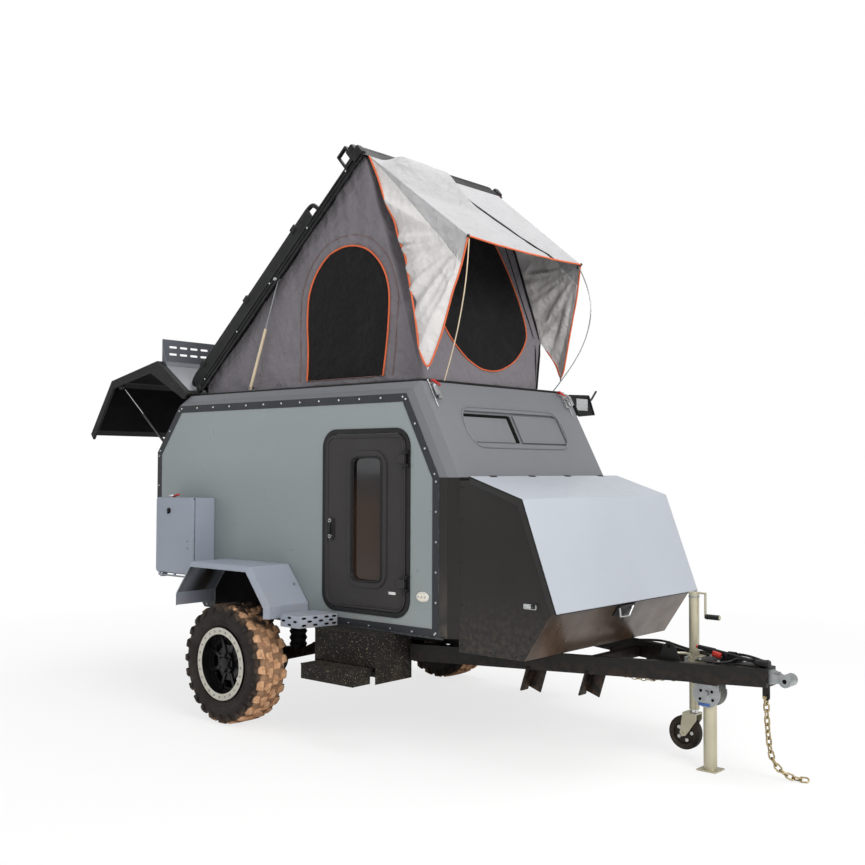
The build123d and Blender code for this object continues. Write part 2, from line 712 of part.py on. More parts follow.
# Trailing arms with their stub axles, and the springs on them
arm_y = spring_y
arm_half = 35.0
stub_radius = 30.0
drum_in = body_half + 45.0
with BuildPart() as arm:
    with BuildSketch(side_plane(-arm_y - arm_half)):
        draw([
            (pivot_x, pivot_z + pivot_radius),
            (pivot_x, pivot_z - pivot_radius),
            (axle_x - 30.0, tyre_radius - 55.0),
            (axle_x - 60.0, tyre_radius),
            (axle_x - 30.0, tyre_radius + 55.0),
            (spring_x - 60.0, tyre_radius + 78.0),
            (spring_x + 60.0, tyre_radius + 78.0),
        ])
    extrude(amount=-2.0 * arm_half)
    with Locations(Location((pivot_x, -0.5 * (rail_y + arm_y + arm_half), pivot_z), (90, 0, 0))):
        Cylinder(pivot_radius, arm_y + arm_half - rail_y)
    with Locations(Location((axle_x, -arm_y, tyre_radius), (90, 0, 0))):
        Cylinder(stub_radius, wheel_y - arm_y - 20.0, align=standing)
        Cylinder(125.0, drum_in - moving_gap - arm_y, align=standing)
        Cylinder(118.0, drum_in - moving_gap - arm_y - 12.0,
                 align=standing, mode=Mode.SUBTRACT)
    with Locations(Location((axle_x, -arm_y, tyre_radius), (90, 0, 0))):
        Cylinder(stub_radius, drum_in - arm_y, align=standing)
with BuildPart() as trailing_arms:
    add(arm.part)
    mirror(arm.part, about=Plane.XZ)
save(trailing_arms, "trailing_arms")

spring_low_z = tyre_radius + 78.0 + clearance
spring_high_z = drawbar_top_z - clearance
bellow = (spring_high_z - spring_low_z) / 3.0
with BuildPart() as spring:
    with BuildSketch(side_plane(-spring_y)):
        draw([
            (spring_x, spring_low_z),
            (spring_x + 48.0, spring_low_z),
            (spring_x + 62.0, spring_low_z + 0.5 * bellow),
            (spring_x + 50.0, spring_low_z + bellow),
            (spring_x + 62.0, spring_low_z + 1.5 * bellow),
            (spring_x + 50.0, spring_low_z + 2.0 * bellow),
            (spring_x + 62.0, spring_low_z + 2.5 * bellow),
            (spring_x + 48.0, spring_high_z),
            (spring_x, spring_high_z),
        ])
    revolve(axis=Axis((spring_x, -spring_y, 0), (0, 0, 1)))
with BuildPart() as air_springs:
    add(spring.part)
    mirror(spring.part, about=Plane.XZ)
save(air_springs, "air_springs")

# Wheels: a pressed rim with a clamped ring, spokes and a drum, and a lugged tyre
rim_radius = 216.0
rim_half = 112.0
ring_radius = 242.0
ring_in = 196.0
drum_radius = 128.0
spokes = 8
wheel_plane_right = Plane(origin=(axle_x, -wheel_y, tyre_radius), x_dir=(1, 0, 0), z_dir=(0, -1, 0))
hub_plane = Plane(origin=(axle_x, -wheel_y, tyre_radius), x_dir=(1, 0, 0), z_dir=(0, 0, -1))
drum_depth = wheel_y - drum_in
with BuildPart() as wheel:
    with BuildSketch(hub_plane):
        draw([
            (rim_radius - 12.0, -rim_half - 8.0),
            (rim_radius - 12.0, rim_half),
            (rim_radius, rim_half),
            (rim_radius, -rim_half),
            (rim_radius + 18.0, -rim_half),
            (rim_radius + 18.0, -rim_half - 8.0),
        ])
    revolve(axis=Axis((axle_x, 0, tyre_radius), (0, 1, 0)))
    with BuildSketch(wheel_plane_right.offset(rim_half)):
        Circle(ring_radius)
        Circle(ring_in, mode=Mode.SUBTRACT)
    extrude(amount=16.0)
    with BuildSketch(wheel_plane_right.offset(0.35 * rim_half)):
        Circle(rim_radius - 10.0)
        Circle(stub_radius + 8.0, mode=Mode.SUBTRACT)
        with PolarLocations(0.66 * rim_radius, spokes):
            SlotOverall(88.0, 52.0, rotation=90, mode=Mode.SUBTRACT)
    extrude(amount=16.0)
    with BuildSketch(wheel_plane_right.offset(-drum_depth)):
        Circle(drum_radius)
        Circle(stub_radius + moving_gap, mode=Mode.SUBTRACT)
    extrude(amount=60.0)
    with BuildSketch(wheel_plane_right.offset(-drum_depth)):
        Circle(68.0)
        Circle(stub_radius + clearance, mode=Mode.SUBTRACT)
    extrude(amount=drum_depth + 0.35 * rim_half + 16.0)
    with BuildSketch(wheel_plane_right.offset(0.35 * rim_half + 16.0)):
        Circle(68.0)
    extrude(amount=26.0)
save(wheel, "wheel_right")
save_mirrored(wheel, "wheel_left")

tread_half = 0.5 * tyre_width - 17.0
side_half = 0.5 * tyre_width
lug_high = 13.0
carcass_radius = tyre_radius - lug_high
bead_radius = rim_radius + clearance
bead_half = rim_half - clearance
shoulder_lugs = 26
side_root = ring_radius + 8.0
with BuildPart() as tyre:
    with BuildSketch(hub_plane):
        with BuildLine():
            Polyline(
                (side_root, -side_half + 12.0), (ring_radius + 1.0, -bead_half), (bead_radius, -bead_half),
                (bead_radius, bead_half), (ring_radius + 1.0, bead_half), (side_root, side_half - 12.0))
            ThreePointArc(
                (side_root, side_half - 12.0), (300.0, side_half), (carcass_radius - 42.0, side_half - 6.0))
            Polyline(
                (carcass_radius - 42.0, side_half - 6.0), (carcass_radius, tread_half - 10.0),
                (carcass_radius, -tread_half + 10.0), (carcass_radius - 42.0, -side_half + 6.0))
            ThreePointArc(
                (carcass_radius - 42.0, -side_half + 6.0), (300.0, -side_half), (side_root, -side_half + 12.0))
        make_face()
    revolve(axis=Axis((axle_x, 0, tyre_radius), (0, 1, 0)))
    for side in (-1, 1):
        with Locations(wheel_plane_right.offset(side * (tread_half - 32.0))):
            lug_turn = (1 + side) * 90.0 / shoulder_lugs
            with PolarLocations(carcass_radius - 12.0, shoulder_lugs, start_angle=lug_turn):
                Box(lug_high + 12.0, 52.0, 66.0, align=(Align.MIN, Align.CENTER, Align.CENTER))
    with BuildSketch(wheel_plane_right.offset(-side_half)):
        Circle(tyre_radius + 50.0)
        Circle(tyre_radius, mode=Mode.SUBTRACT)
    extrude(amount=tyre_width, mode=Mode.SUBTRACT)
save(tyre, "tyre_right")
save_mirrored(tyre, "tyre_left")

# Side boxes behind the wheels, each with a door hinged along its bottom edge
box_rear_x = axle_x - 990.0
box_front_x = axle_x - 548.0
box_low_z = 937.0
box_high_z = 1490.0
box_in = body_half + trim_proud + clearance
box_out = body_half + 175.0
box_wall = 4.0
box_door_in = box_out + moving_gap
box_door_thick = 15.0
box_mid_x = 0.5 * (box_rear_x + box_front_x)
box_long = box_front_x - box_rear_x
box_tall = box_high_z - box_low_z
box_hinge_y = box_door_in + 0.5 * box_door_thick
box_hinge_z = box_low_z - 14.0
lug_wide = 24.0
with BuildPart() as side_box:
    with Locations((box_mid_x, -box_in, box_low_z)):
        Box(box_long, box_out - box_in, box_tall, align=(Align.CENTER, Align.MAX, Align.MIN))
    with Locations((box_mid_x, -box_in - box_wall, box_low_z + box_wall)):
        Box(box_long - 2.0 * box_wall, box_out, box_tall - 2.0 * box_wall,
            align=(Align.CENTER, Align.MAX, Align.MIN), mode=Mode.SUBTRACT)
    for x in (box_mid_x - 150.0, box_mid_x + 150.0):
        with Locations((x, -box_out + 25.0, box_low_z + box_wall)):
            Box(lug_wide, box_hinge_y + 12.0 - box_out + 25.0, box_low_z + box_wall - box_hinge_z + 12.0,
                align=(Align.CENTER, Align.MAX, Align.MAX))
        with Locations((x, -box_out, box_low_z - 1.5)):
            Box(lug_wide, 60.0, box_tall, align=(Align.CENTER, Align.MAX, Align.MIN), mode=Mode.SUBTRACT)
    with Locations(Location((box_mid_x, -box_hinge_y, box_hinge_z), (0, 90, 0))):
        Cylinder(hinge_rod + clearance, box_long, mode=Mode.SUBTRACT)
with BuildPart() as side_boxes:
    add(side_box.part)
    mirror(side_box.part, about=Plane.XZ)
save(side_boxes, "side_boxes")

with BuildPart() as side_box_door:
    with BuildSketch(side_plane(-box_door_in)):
        rounded((box_mid_x, 0.5 * (box_low_z + box_high_z) + 4.0), box_long, box_tall - 8.0, 22.0)
    extrude(amount=box_door_thick)
    with Locations(Location((box_mid_x, -box_hinge_y, box_hinge_z), (0, 90, 0))):
        Cylinder(hinge_rod, 380.0)
    for x in (box_mid_x - 182.0, box_mid_x, box_mid_x + 182.0):
        with Locations((x, -box_hinge_y, box_hinge_z)):
            Box(22.0, 10.0, 60.0, align=standing)
save(side_box_door, "side_box_door_right")
save_mirrored(side_box_door, "side_box_door_left")

# Fenders: folded plates over the wheels with an angled outer lip, and the tread plates in front
fender_thick = 5.0
fender_lip_y = body_half + 335.0
fender_out = fender_lip_y + 26.0
fender_line = [
    (axle_x - 540.0, 745.0),
    (axle_x - 540.0, 835.0),
    (axle_x - 365.0, 1060.0),
    (axle_x + 262.0, 1060.0),
    (axle_x + 460.0, 815.0),
    (axle_x + 460.0, 735.0),
]
tread_rear_x = axle_x + 515.0
tread_front_x = axle_x + 690.0
tread_out = body_half + 290.0
tread_high_z = 770.0
tread_skirt = 35.0
with BuildPart() as fender:
    with BuildSketch(side_plane(-box_in)):
        draw(band(fender_line, -fender_thick))
    extrude(amount=fender_lip_y - box_in)
    with BuildSketch(side_plane(-fender_lip_y)):
        draw(band(fender_line, -fender_thick))
    with BuildSketch(side_plane(-fender_out)):
        draw(band(parallel(fender_line, -30.0), -fender_thick))
    loft(ruled=True)
    with Locations((0.5 * (tread_rear_x + tread_front_x), -box_in, tread_high_z)):
        Box(tread_front_x - tread_rear_x, tread_out - box_in, tread_skirt,
            align=(Align.CENTER, Align.MAX, Align.MAX))
    with Locations((0.5 * (tread_rear_x + tread_front_x), -box_in - 4.0, tread_high_z - 4.0)):
        Box(tread_front_x - tread_rear_x - 8.0, tread_out - box_in - 8.0, tread_skirt,
            align=(Align.CENTER, Align.MAX, Align.MAX), mode=Mode.SUBTRACT)
    with Locations((0, -box_in, tread_high_z - tread_skirt)):
        with Locations((0.5 * (tread_rear_x + axle_x + 460.0), 0, 0)):
            Box(tread_rear_x - axle_x - 460.0 + 4.0, 40.0, 20.0, align=(Align.CENTER, Align.MAX, Align.MIN))
with BuildPart() as fenders:
    add(fender.part)
    mirror(fender.part, about=Plane.XZ)
save(fenders, "fenders")

# Step cases under the doors and the treads that slide out of them
case_rear_x = axle_x + 705.0
case_front_x = axle_x + 1245.0
case_in = body_half - 160.0
case_out = body_half + 165.0
case_high_z = floor_z - clearance
case_face_z = 495.0
case_low_z = 395.0
case_plate = 5.0
case_mid_x = 0.5 * (case_rear_x + case_front_x)
case_long = case_front_x - case_rear_x
step_half = 230.0
step_out = case_out + 155.0
step_deep = 295.0
step_high_z = 489.0
step_low_z = 395.0
runner_z = 440.0
runner_wide = 0.5 * case_long - step_half - clearance
with BuildPart() as step_case:
    with Locations((case_mid_x, -case_in, case_high_z)):
        Box(case_long, case_out - case_in, case_plate, align=(Align.CENTER, Align.MAX, Align.MAX))
    with Locations((case_mid_x, -case_out, case_face_z)):
        Box(case_long, case_plate, case_high_z - case_face_z, align=(Align.CENTER, Align.MIN, Align.MIN))
    for side in (-1, 1):
        with Locations((case_mid_x + side * 0.5 * (case_long - case_plate), -case_in, case_low_z)):
            Box(case_plate, case_out - case_in, case_high_z - case_low_z,
                align=(Align.CENTER, Align.MAX, Align.MIN))
        with Locations((case_mid_x + side * 0.5 * (case_long - runner_wide), -case_in, runner_z)):
            Box(runner_wide, case_out - case_in, 26.0, align=(Align.CENTER, Align.MAX, Align.MIN))
with BuildPart() as step_cases:
    add(step_case.part)
    mirror(step_case.part, about=Plane.XZ)
save(step_cases, "step_cases")

with BuildPart() as step_tread:
    with Locations((case_mid_x, -step_out, step_high_z)):
        Box(2.0 * step_half, step_deep, 5.0, align=(Align.CENTER, Align.MIN, Align.MAX))
        Box(2.0 * step_half, 5.0, step_high_z - step_low_z, align=(Align.CENTER, Align.MIN, Align.MAX))
    for side in (-1, 1):
        with Locations((case_mid_x + side * (step_half - 2.5), -step_out, step_high_z)):
            Box(5.0, step_deep, 50.0, align=(Align.CENTER, Align.MIN, Align.MAX))
save(step_tread, "step_tread_right")
save_mirrored(step_tread, "step_tread_left")

# Lamps: oval markers on the side panels, and two lamp boxes on the chassis' rear beam
marker_at = (axle_x + 1481.0, 931.0)
with BuildPart() as marker_lamp:
    with BuildSketch(side_plane(-body_half - clearance)):
        with Locations(marker_at):
            Ellipse(42.0, 24.0)
    extrude(amount=14.0)
with BuildPart() as marker_lamps:
    add(marker_lamp.part)
    mirror(marker_lamp.part, about=Plane.XZ)
save(marker_lamps, "marker_lamps")

lamp_face_x = chassis_rear_x - 60.0 - clearance
with BuildPart() as tail_lamps:
    for side in (-1, 1):
        with Locations((lamp_face_x, side * (core_half - 180.0), chassis_top_z - 42.0)):
            Box(24.0, 260.0, 60.0, align=(Align.MAX, Align.CENTER, Align.CENTER))
save(tail_lamps, "tail_lamps")

# Latches at the roof's front corners and at the nose lid's sides
latch_y = core_half - 100.0
latch_up = 0.40
latch_plane = front_slope.offset(clearance)
with BuildPart() as roof_latches:
    for side in (-1, 1):
        with BuildSketch(latch_plane):
            with Locations((side * latch_y, slope_len * (latch_up - 0.5 * (window_low + window_high) + 0.5))):
                RectangleRounded(34.0, 130.0, 8.0)
        extrude(amount=22.0)
save(roof_latches, "roof_latches")

nose_latch_at = (axle_x + 2285.0, 940.0)
with BuildPart() as nose_latch:
    with BuildSketch(side_plane(-nose_half - clearance)):
        rounded((nose_latch_at[0] - 40.0, nose_latch_at[1] - 8.0), 90.0, 30.0, 8.0)
    extrude(amount=16.0)
with BuildPart() as nose_latches:
    add(nose_latch.part)
    mirror(nose_latch.part, about=Plane.XZ)
save(nose_latches, "nose_latches")

# Awning case along the left side, on three brackets from the side panel's top
awning_rear_x = axle_x - 850.0
awning_front_x = axle_x + 1360.0
awning_section = [
    (body_half + 45.0, 2253.0),
    (body_half + 295.0, 2258.0),
    (body_half + 372.0, 2122.0),
    (body_half + 170.0, 2108.0),
]
with BuildPart() as awning_case:
    with BuildSketch(Plane.YZ.offset(awning_rear_x)):
        draw(awning_section)
    extrude(amount=awning_front_x - awning_rear_x)
    for x in (awning_rear_x + 140.0, 0.5 * (awning_rear_x + awning_front_x), awning_front_x - 160.0):
        with Locations((x, box_in, 2112.0)):
            Box(60.0, 8.0, 90.0, align=(Align.CENTER, Align.MIN, Align.CENTER))
            Box(60.0, 190.0, 30.0, align=(Align.CENTER, Align.MIN, Align.MIN))
save(awning_case, "awning_case")

# Bed base on the roof, with the knuckles that carry the bed lid
base_half = core_half - 62.0
base_rear_x = axle_x - 880.0
base_front_x = axle_x + 1385.0
base_low_z = roof_z + clearance
base_high_z = 2270.0
bed_hinge = (axle_x - 900.0, 2287.0)
knuckles = (178.0 - base_half, 0.0, base_half - 178.0)
strut_foot = (axle_x - 320.0, 2290.0)
strut_y = base_half - 13.0
stud_radius = 5.0
eye_ring = 13.0
bracket_y = base_half - 32.0
with BuildPart() as bed_base:
    with Locations((base_rear_x, 0, base_low_z)):
        Box(base_front_x - base_rear_x, 2.0 * base_half, base_high_z - base_low_z,
            align=(Align.MIN, Align.CENTER, Align.MIN))
    for y in knuckles:
        with Locations((bed_hinge[0] - 8.0, y, base_low_z)):
            Box(base_rear_x - bed_hinge[0] + 28.0, 60.0, base_high_z - base_low_z + 12.0,
                align=(Align.MIN, Align.CENTER, Align.MIN))
        with Locations(Location((bed_hinge[0], y, bed_hinge[1]), (90, 0, 0))):
            Cylinder(11.0, 60.0)
            Cylinder(hinge_rod + clearance, 100.0, mode=Mode.SUBTRACT)
    for side in (-1, 1):
        with BuildSketch(side_plane(side * bracket_y)):
            with Locations(strut_foot):
                Circle(14.0)
                Rectangle(28.0, strut_foot[1] - base_high_z + 2.0, align=(Align.CENTER, Align.MAX))
        extrude(amount=-side * 6.0)
        stud_at = (strut_foot[0], side * (bracket_y + 3.0), strut_foot[1])
        with Locations(Location(stud_at, (-side * 90, 0, 0))):
            Cylinder(stud_radius, strut_y - bracket_y + 8.0, align=standing)
save(bed_base, "bed_base")

# Bed lid: a shallow tray, hinged at the rear and shown raised by the bed angle
bed_angle = 41.2
bed_long = 2300.0
bed_half = base_half + 12.0
bed_skin_z = 20.0
bed_top_z = 40.0
bed_edge_z = -29.0
bed_wall = 5.0
strut_head = (1161.0, -3.0)
rail_at_y = bed_half - 50.0
rail_z = 162.0
rail_radius = 16.0
lid_hinge_leaves = []
for y in knuckles[::2]:
    lid_hinge_leaves += [y - 80.0, y + 80.0, 0.5 * y]
lid_plane = Plane(
    origin=(bed_hinge[0], 0, bed_hinge[1]),
    x_dir=(cos(radians(bed_angle)), 0, sin(radians(bed_angle))),
    z_dir=(-sin(radians(bed_angle)), 0, cos(radians(bed_angle))))
with BuildPart() as bed_lid:
    with BuildSketch(lid_plane.offset(bed_skin_z)):
        with Locations((0.5 * bed_long - 2.5, 0)):
            Rectangle(bed_long + 5.0, 2.0 * bed_half)
    extrude(amount=bed_top_z - bed_skin_z)
    with BuildSketch(lid_plane.offset(bed_edge_z)):
        for side in (-1, 1):
            with Locations((30.0, side * (bed_half - 0.5 * bed_wall))):
                Rectangle(bed_long - 30.0, bed_wall, align=(Align.MIN, Align.CENTER))
        with Locations((bed_long, 0)):
            Rectangle(bed_wall, 2.0 * bed_half, align=(Align.MAX, Align.CENTER))
    extrude(amount=bed_top_z - bed_edge_z)
    with BuildSketch(lid_plane.offset(-hinge_rod)):
        for y in lid_hinge_leaves:
            with Locations((0, y)):
                Rectangle(12.0, 60.0)
    extrude(amount=bed_top_z)
    with Locations(Location((bed_hinge[0], 0, bed_hinge[1]), (90, 0, 0))):
        Cylinder(hinge_rod, 2.0 * (bed_half - 80.0))
    with Locations(lid_plane):
        for side in (-1, 1):
            with Locations(Location((strut_head[0], side * bed_half, strut_head[1]), (side * 90, 0, 0))):
                Cylinder(stud_radius, bed_half - strut_y + 8.0, align=standing)
            with Locations(Location((22.0, side * rail_at_y, rail_z), (0, 90, 0))):
                Cylinder(rail_radius, 1640.0, align=standing)
            for x in (150.0, 820.0, 1500.0):
                with Locations((x, side * rail_at_y, bed_top_z - 2.0)):
                    Box(60.0, 26.0, rail_z - bed_top_z, align=standing)
        for x in (150.0, 820.0, 1500.0):
            with Locations((x, 0, rail_z - 22.0)):
                Box(50.0, 2.0 * rail_at_y, 24.0)
save(bed_lid, "bed_lid")

# Struts: a barrel on its lower stud and a rod on its upper one; open and folded lengths
strut_bore = 5.0


def at_strut(foot, head, y):
    """A frame at the foot whose X runs to the head and whose Z runs across the object."""
    run = (head[0] - foot[0], 0, head[1] - foot[1])
    return Plane(origin=(foot[0], y, foot[1]), x_dir=run, z_dir=(0, -1, 0))


def strut_barrel(frame, start, end, radius):
    with Locations(frame):
        Cylinder(eye_ring, 12.0)
        with Locations(Location((start, 0, 0), (0, 90, 0))):
            Cylinder(radius, end - start, align=standing)
        with Locations(Location((start + 8.0, 0, 0), (0, 90, 0))):
            Cylinder(strut_bore + clearance, end, align=standing,
                     mode=Mode.SUBTRACT)
        Cylinder(stud_radius + clearance, 20.0, mode=Mode.SUBTRACT)


def strut_rod(frame, start, length):
    with Locations(frame):
        with Locations(Location((start, 0, 0), (0, 90, 0))):
            Cylinder(strut_bore, length - start - 6.0, align=standing)
        with Locations((length, 0, 0)):
            Cylinder(eye_ring, 12.0)
            Cylinder(stud_radius + clearance, 20.0, mode=Mode.SUBTRACT)


bed_strut_head = lid_plane.from_local_coords((strut_head[0], 0, strut_head[1]))
bed_head = (bed_strut_head.X, bed_strut_head.Z)
bed_strut_open = hypot(bed_head[0] - strut_foot[0], bed_head[1] - strut_foot[1])
for label, side in (("right", -1), ("left", 1)):
    frame = at_strut(strut_foot, bed_head, side * strut_y)
    with BuildPart() as barrel:
        strut_barrel(frame, 10.0, 450.0, 11.0)
    save(barrel, f"bed_strut_barrel_{label}")
    with BuildPart() as rod:
        strut_rod(frame, 300.0, bed_strut_open)
    save(rod, f"bed_strut_rod_{label}")

# Bed walls: side and front fabric between the base and the raised lid
wall_half = bed_half - 60.0
cloth = 5.0
wall_low_z = base_high_z + clearance
inner_rear = lid_plane.from_local_coords((40.0, 0, bed_skin_z - clearance))
inner_apex = lid_plane.from_local_coords((bed_long - 20.0, 0, bed_skin_z - clearance))
wall_side = [
    (axle_x - 860.0, wall_low_z),
    (axle_x + 1330.0, wall_low_z),
    (inner_apex.X, inner_apex.Z),
    (inner_rear.X, inner_rear.Z),
]
with BuildPart() as bed_walls:
    for side in (-1, 1):
        with BuildSketch(side_plane(side * wall_half)):
            draw(wall_side)
        extrude(amount=side * cloth)
    with BuildSketch(side_plane(-wall_half)):
        draw([
            wall_side[1],
            wall_side[2],
            (wall_side[2][0] - cloth * lid_plane.x_dir.X, wall_side[2][1] - cloth * lid_plane.x_dir.Z),
            (wall_side[1][0] - cloth, wall_side[1][1]),
        ])
    extrude(amount=-2.0 * wall_half)
save(bed_walls, "bed_walls")

# Awning fly: a sloping roof sheet with a flap at each side, on two bowed rods
fly_top_half = bed_half - 50.0
fly_top = lid_plane.from_local_coords((bed_long, 0, bed_edge_z - 1.5))
awning_tip = (axle_x + 1640.0, fly_top_half - 75.0, 3150.0)
flap_tip = (axle_x + 1390.0, fly_top_half + 35.0, 2400.0)
fly_panels = []
fly_panels.append([
    (fly_top.X, -fly_top_half, fly_top.Z),
    (awning_tip[0], -awning_tip[1], awning_tip[2]),
    (awning_tip[0], awning_tip[1], awning_tip[2]),
    (fly_top.X, fly_top_half, fly_top.Z),
])
for side in (-1, 1):
    fly_panels.append([
        (fly_top.X, side * fly_top_half, fly_top.Z),
        (awning_tip[0], side * awning_tip[1], awning_tip[2]),
        (flap_tip[0], side * flap_tip[1], flap_tip[2]),
    ])
with BuildPart() as bed_fly:
    for corners in fly_panels:
        first = Vector(*corners[0])
        second = Vector(*corners[1])
        third = Vector(*corners[2])
        sheet_plane = Plane(origin=first, x_dir=second - first, z_dir=(second - first).cross(third - first))
        flat = [sheet_plane.to_local_coords(Vector(*corner)) for corner in corners]
        with BuildSketch(sheet_plane):
            draw([(corner.X, corner.Y) for corner in flat])
        extrude(amount=0.5 * cloth, both=True)
save(bed_fly, "bed_fly")

rod_radius = 4.0
with BuildPart() as fly_rods:
    for side in (-1, 1):
        foot = Vector(axle_x + 1360.0, side * (fly_top_half - 60.0), wall_low_z + rod_radius)
        tip = Vector(awning_tip[0] - 8.0, side * (awning_tip[1] - 14.0), awning_tip[2] - 14.0)
        middle = (foot + tip) * 0.5 + Vector(60.0, side * 10.0, 0)
        with BuildLine() as bow_line:
            ThreePointArc(foot, middle, tip)
        with BuildSketch(Plane(origin=bow_line.line @ 0, z_dir=bow_line.line % 0)):
            Circle(rod_radius)
        sweep(path=bow_line.line)
save(fly_rods, "fly_rods")

# Rear hatch: a folded clamshell hinged at the roof's rear edge, shown open
hatch_hinge = (axle_x - 954.0, 2232.0)
hatch_angle = 78.6
hatch_half = body_half - 15.0
hatch_skin = 16.0
hatch_flange = 20.0
hatch_outer = [
    (axle_x - 920.0, 2269.0),
    (axle_x - 1307.0, 2540.0),
    (axle_x - 1935.0, 2414.0),
    (axle_x - 2232.0, 1986.0),
]
rear_edge = [rear_lip, rear_low, (rear_x, rear_knee_z), (roof_rear_x, roof_z)]
near_edge = parallel(rear_edge, moving_gap)
slope_back = Vector(roof_rear_x - rear_x, 0, roof_z - rear_knee_z).normalized()
leaf_line = [
    (roof_rear_x - 4.0 * slope_back.X, roof_z - 4.0 * slope_back.Z),
    (roof_rear_x - 38.0 * slope_back.X, roof_z - 38.0 * slope_back.Z),
]
hinge_foot = (
    hatch_hinge[0] + 7.0 * slope_back.Z, hatch_hinge[1] - 7.0 * slope_back.X)
near_edge[3] = (hinge_foot[0] - 12.0 * slope_back.X, hinge_foot[1] - 12.0 * slope_back.Z)
flange_line = [turn(point, hatch_hinge, -hatch_angle) for point in near_edge]
hatch_strut_foot = (axle_x - 1245.0, 1893.0)
hatch_strut_head = (axle_x - 1835.0, 2366.0)
hatch_strut_y = hatch_half - 45.0
hatch_ear_y = hatch_half - 30.0
bracket_out = hatch_half - 24.0
pad_y = panel_in - clearance - 0.5 * (20.0 - clearance)
arm_step = 350.0
hinge_arms = (-2.0 * arm_step, -arm_step, 0.0, arm_step, 2.0 * arm_step)
hinge_barrels = (-1.5 * arm_step, -0.5 * arm_step, 0.5 * arm_step, 1.5 * arm_step)
with BuildPart() as hatch_shell:
    with BuildSketch(side_plane(-hatch_half)):
        draw(band(hatch_outer, hatch_skin))
    extrude(amount=-2.0 * hatch_half)
    for side in (-1, 1):
        with BuildSketch(side_plane(side * hatch_half)):
            draw(hatch_outer + flange_line)
        extrude(amount=side * hatch_flange)
        with BuildSketch(side_plane(side * hatch_ear_y)):
            with Locations(hatch_strut_head):
                Circle(24.0)
        extrude(amount=-side * 12.0)
        stud_at = (hatch_strut_head[0], side * hatch_ear_y, hatch_strut_head[1])
        with Locations(Location(stud_at, (side * 90, 0, 0))):
            Cylinder(stud_radius, hatch_ear_y - hatch_strut_y + 8.0, align=standing)
    for y in hinge_arms:
        with BuildSketch(side_plane(y - 20.0)):
            draw([
                (hatch_hinge[0] - 6.0, hatch_hinge[1]),
                (hatch_hinge[0] + 6.0, hatch_hinge[1]),
                (hatch_hinge[0] + 6.0, hatch_hinge[1] + 52.0),
                (hatch_hinge[0] - 6.0, hatch_hinge[1] + 60.0),
            ])
        extrude(amount=-40.0)
    with Locations(Location((hatch_hinge[0], 0, hatch_hinge[1]), (90, 0, 0))):
        Cylinder(hinge_rod, 1520.0)
save(hatch_shell, "hatch_shell")

with BuildPart() as hatch_hinges:
    for y in hinge_barrels:
        with BuildSketch(side_plane(y - 30.0)):
            with Locations(hatch_hinge):
                Circle(9.0)
            draw(band(parallel(leaf_line, -clearance), -4.0))
            with Locations(hatch_hinge):
                Circle(hinge_rod + clearance, mode=Mode.SUBTRACT)
        extrude(amount=-60.0)
save(hatch_hinges, "hatch_hinges")

hatch_strut_open = hypot(
    hatch_strut_head[0] - hatch_strut_foot[0], hatch_strut_head[1] - hatch_strut_foot[1])
for label, side in (("right", -1), ("left", 1)):
    frame = at_strut(hatch_strut_foot, hatch_strut_head, side * hatch_strut_y)
    with BuildPart() as barrel:
        strut_barrel(frame, 10.0, 384.5, 11.0)
    save(barrel, f"hatch_strut_barrel_{label}")
    with BuildPart() as rod:
        strut_rod(frame, 376.0, hatch_strut_open)
    save(rod, f"hatch_strut_rod_{label}")

with BuildPart() as hatch_strut_brackets:
    for side in (-1, 1):
        with BuildSketch(side_plane(side * bracket_out)):
            with Locations(hatch_strut_foot):
                Circle(16.0)
            draw([
                (hatch_strut_foot[0] - 5.0, hatch_strut_foot[1] - 15.0),
                (hatch_strut_foot[0] - 5.0, hatch_strut_foot[1] + 15.0),
                (hatch_strut_foot[0] + 100.0, hatch_strut_foot[1] + 30.0),
                (hatch_strut_foot[0] + 100.0, hatch_strut_foot[1] - 30.0),
            ])
        extrude(amount=side * 6.0)
        with Locations((hatch_strut_foot[0] + 100.0, side * pad_y, hatch_strut_foot[1])):
            Box(40.0, 20.0 - clearance, 60.0, align=(Align.MAX, Align.CENTER, Align.CENTER))
        stud_at = (hatch_strut_foot[0], side * bracket_out, hatch_strut_foot[1])
        with Locations(Location(stud_at, (side * 90, 0, 0))):
            Cylinder(stud_radius, bracket_out - hatch_strut_y + 8.0, align=standing)
save(hatch_strut_brackets, "hatch_strut_brackets")

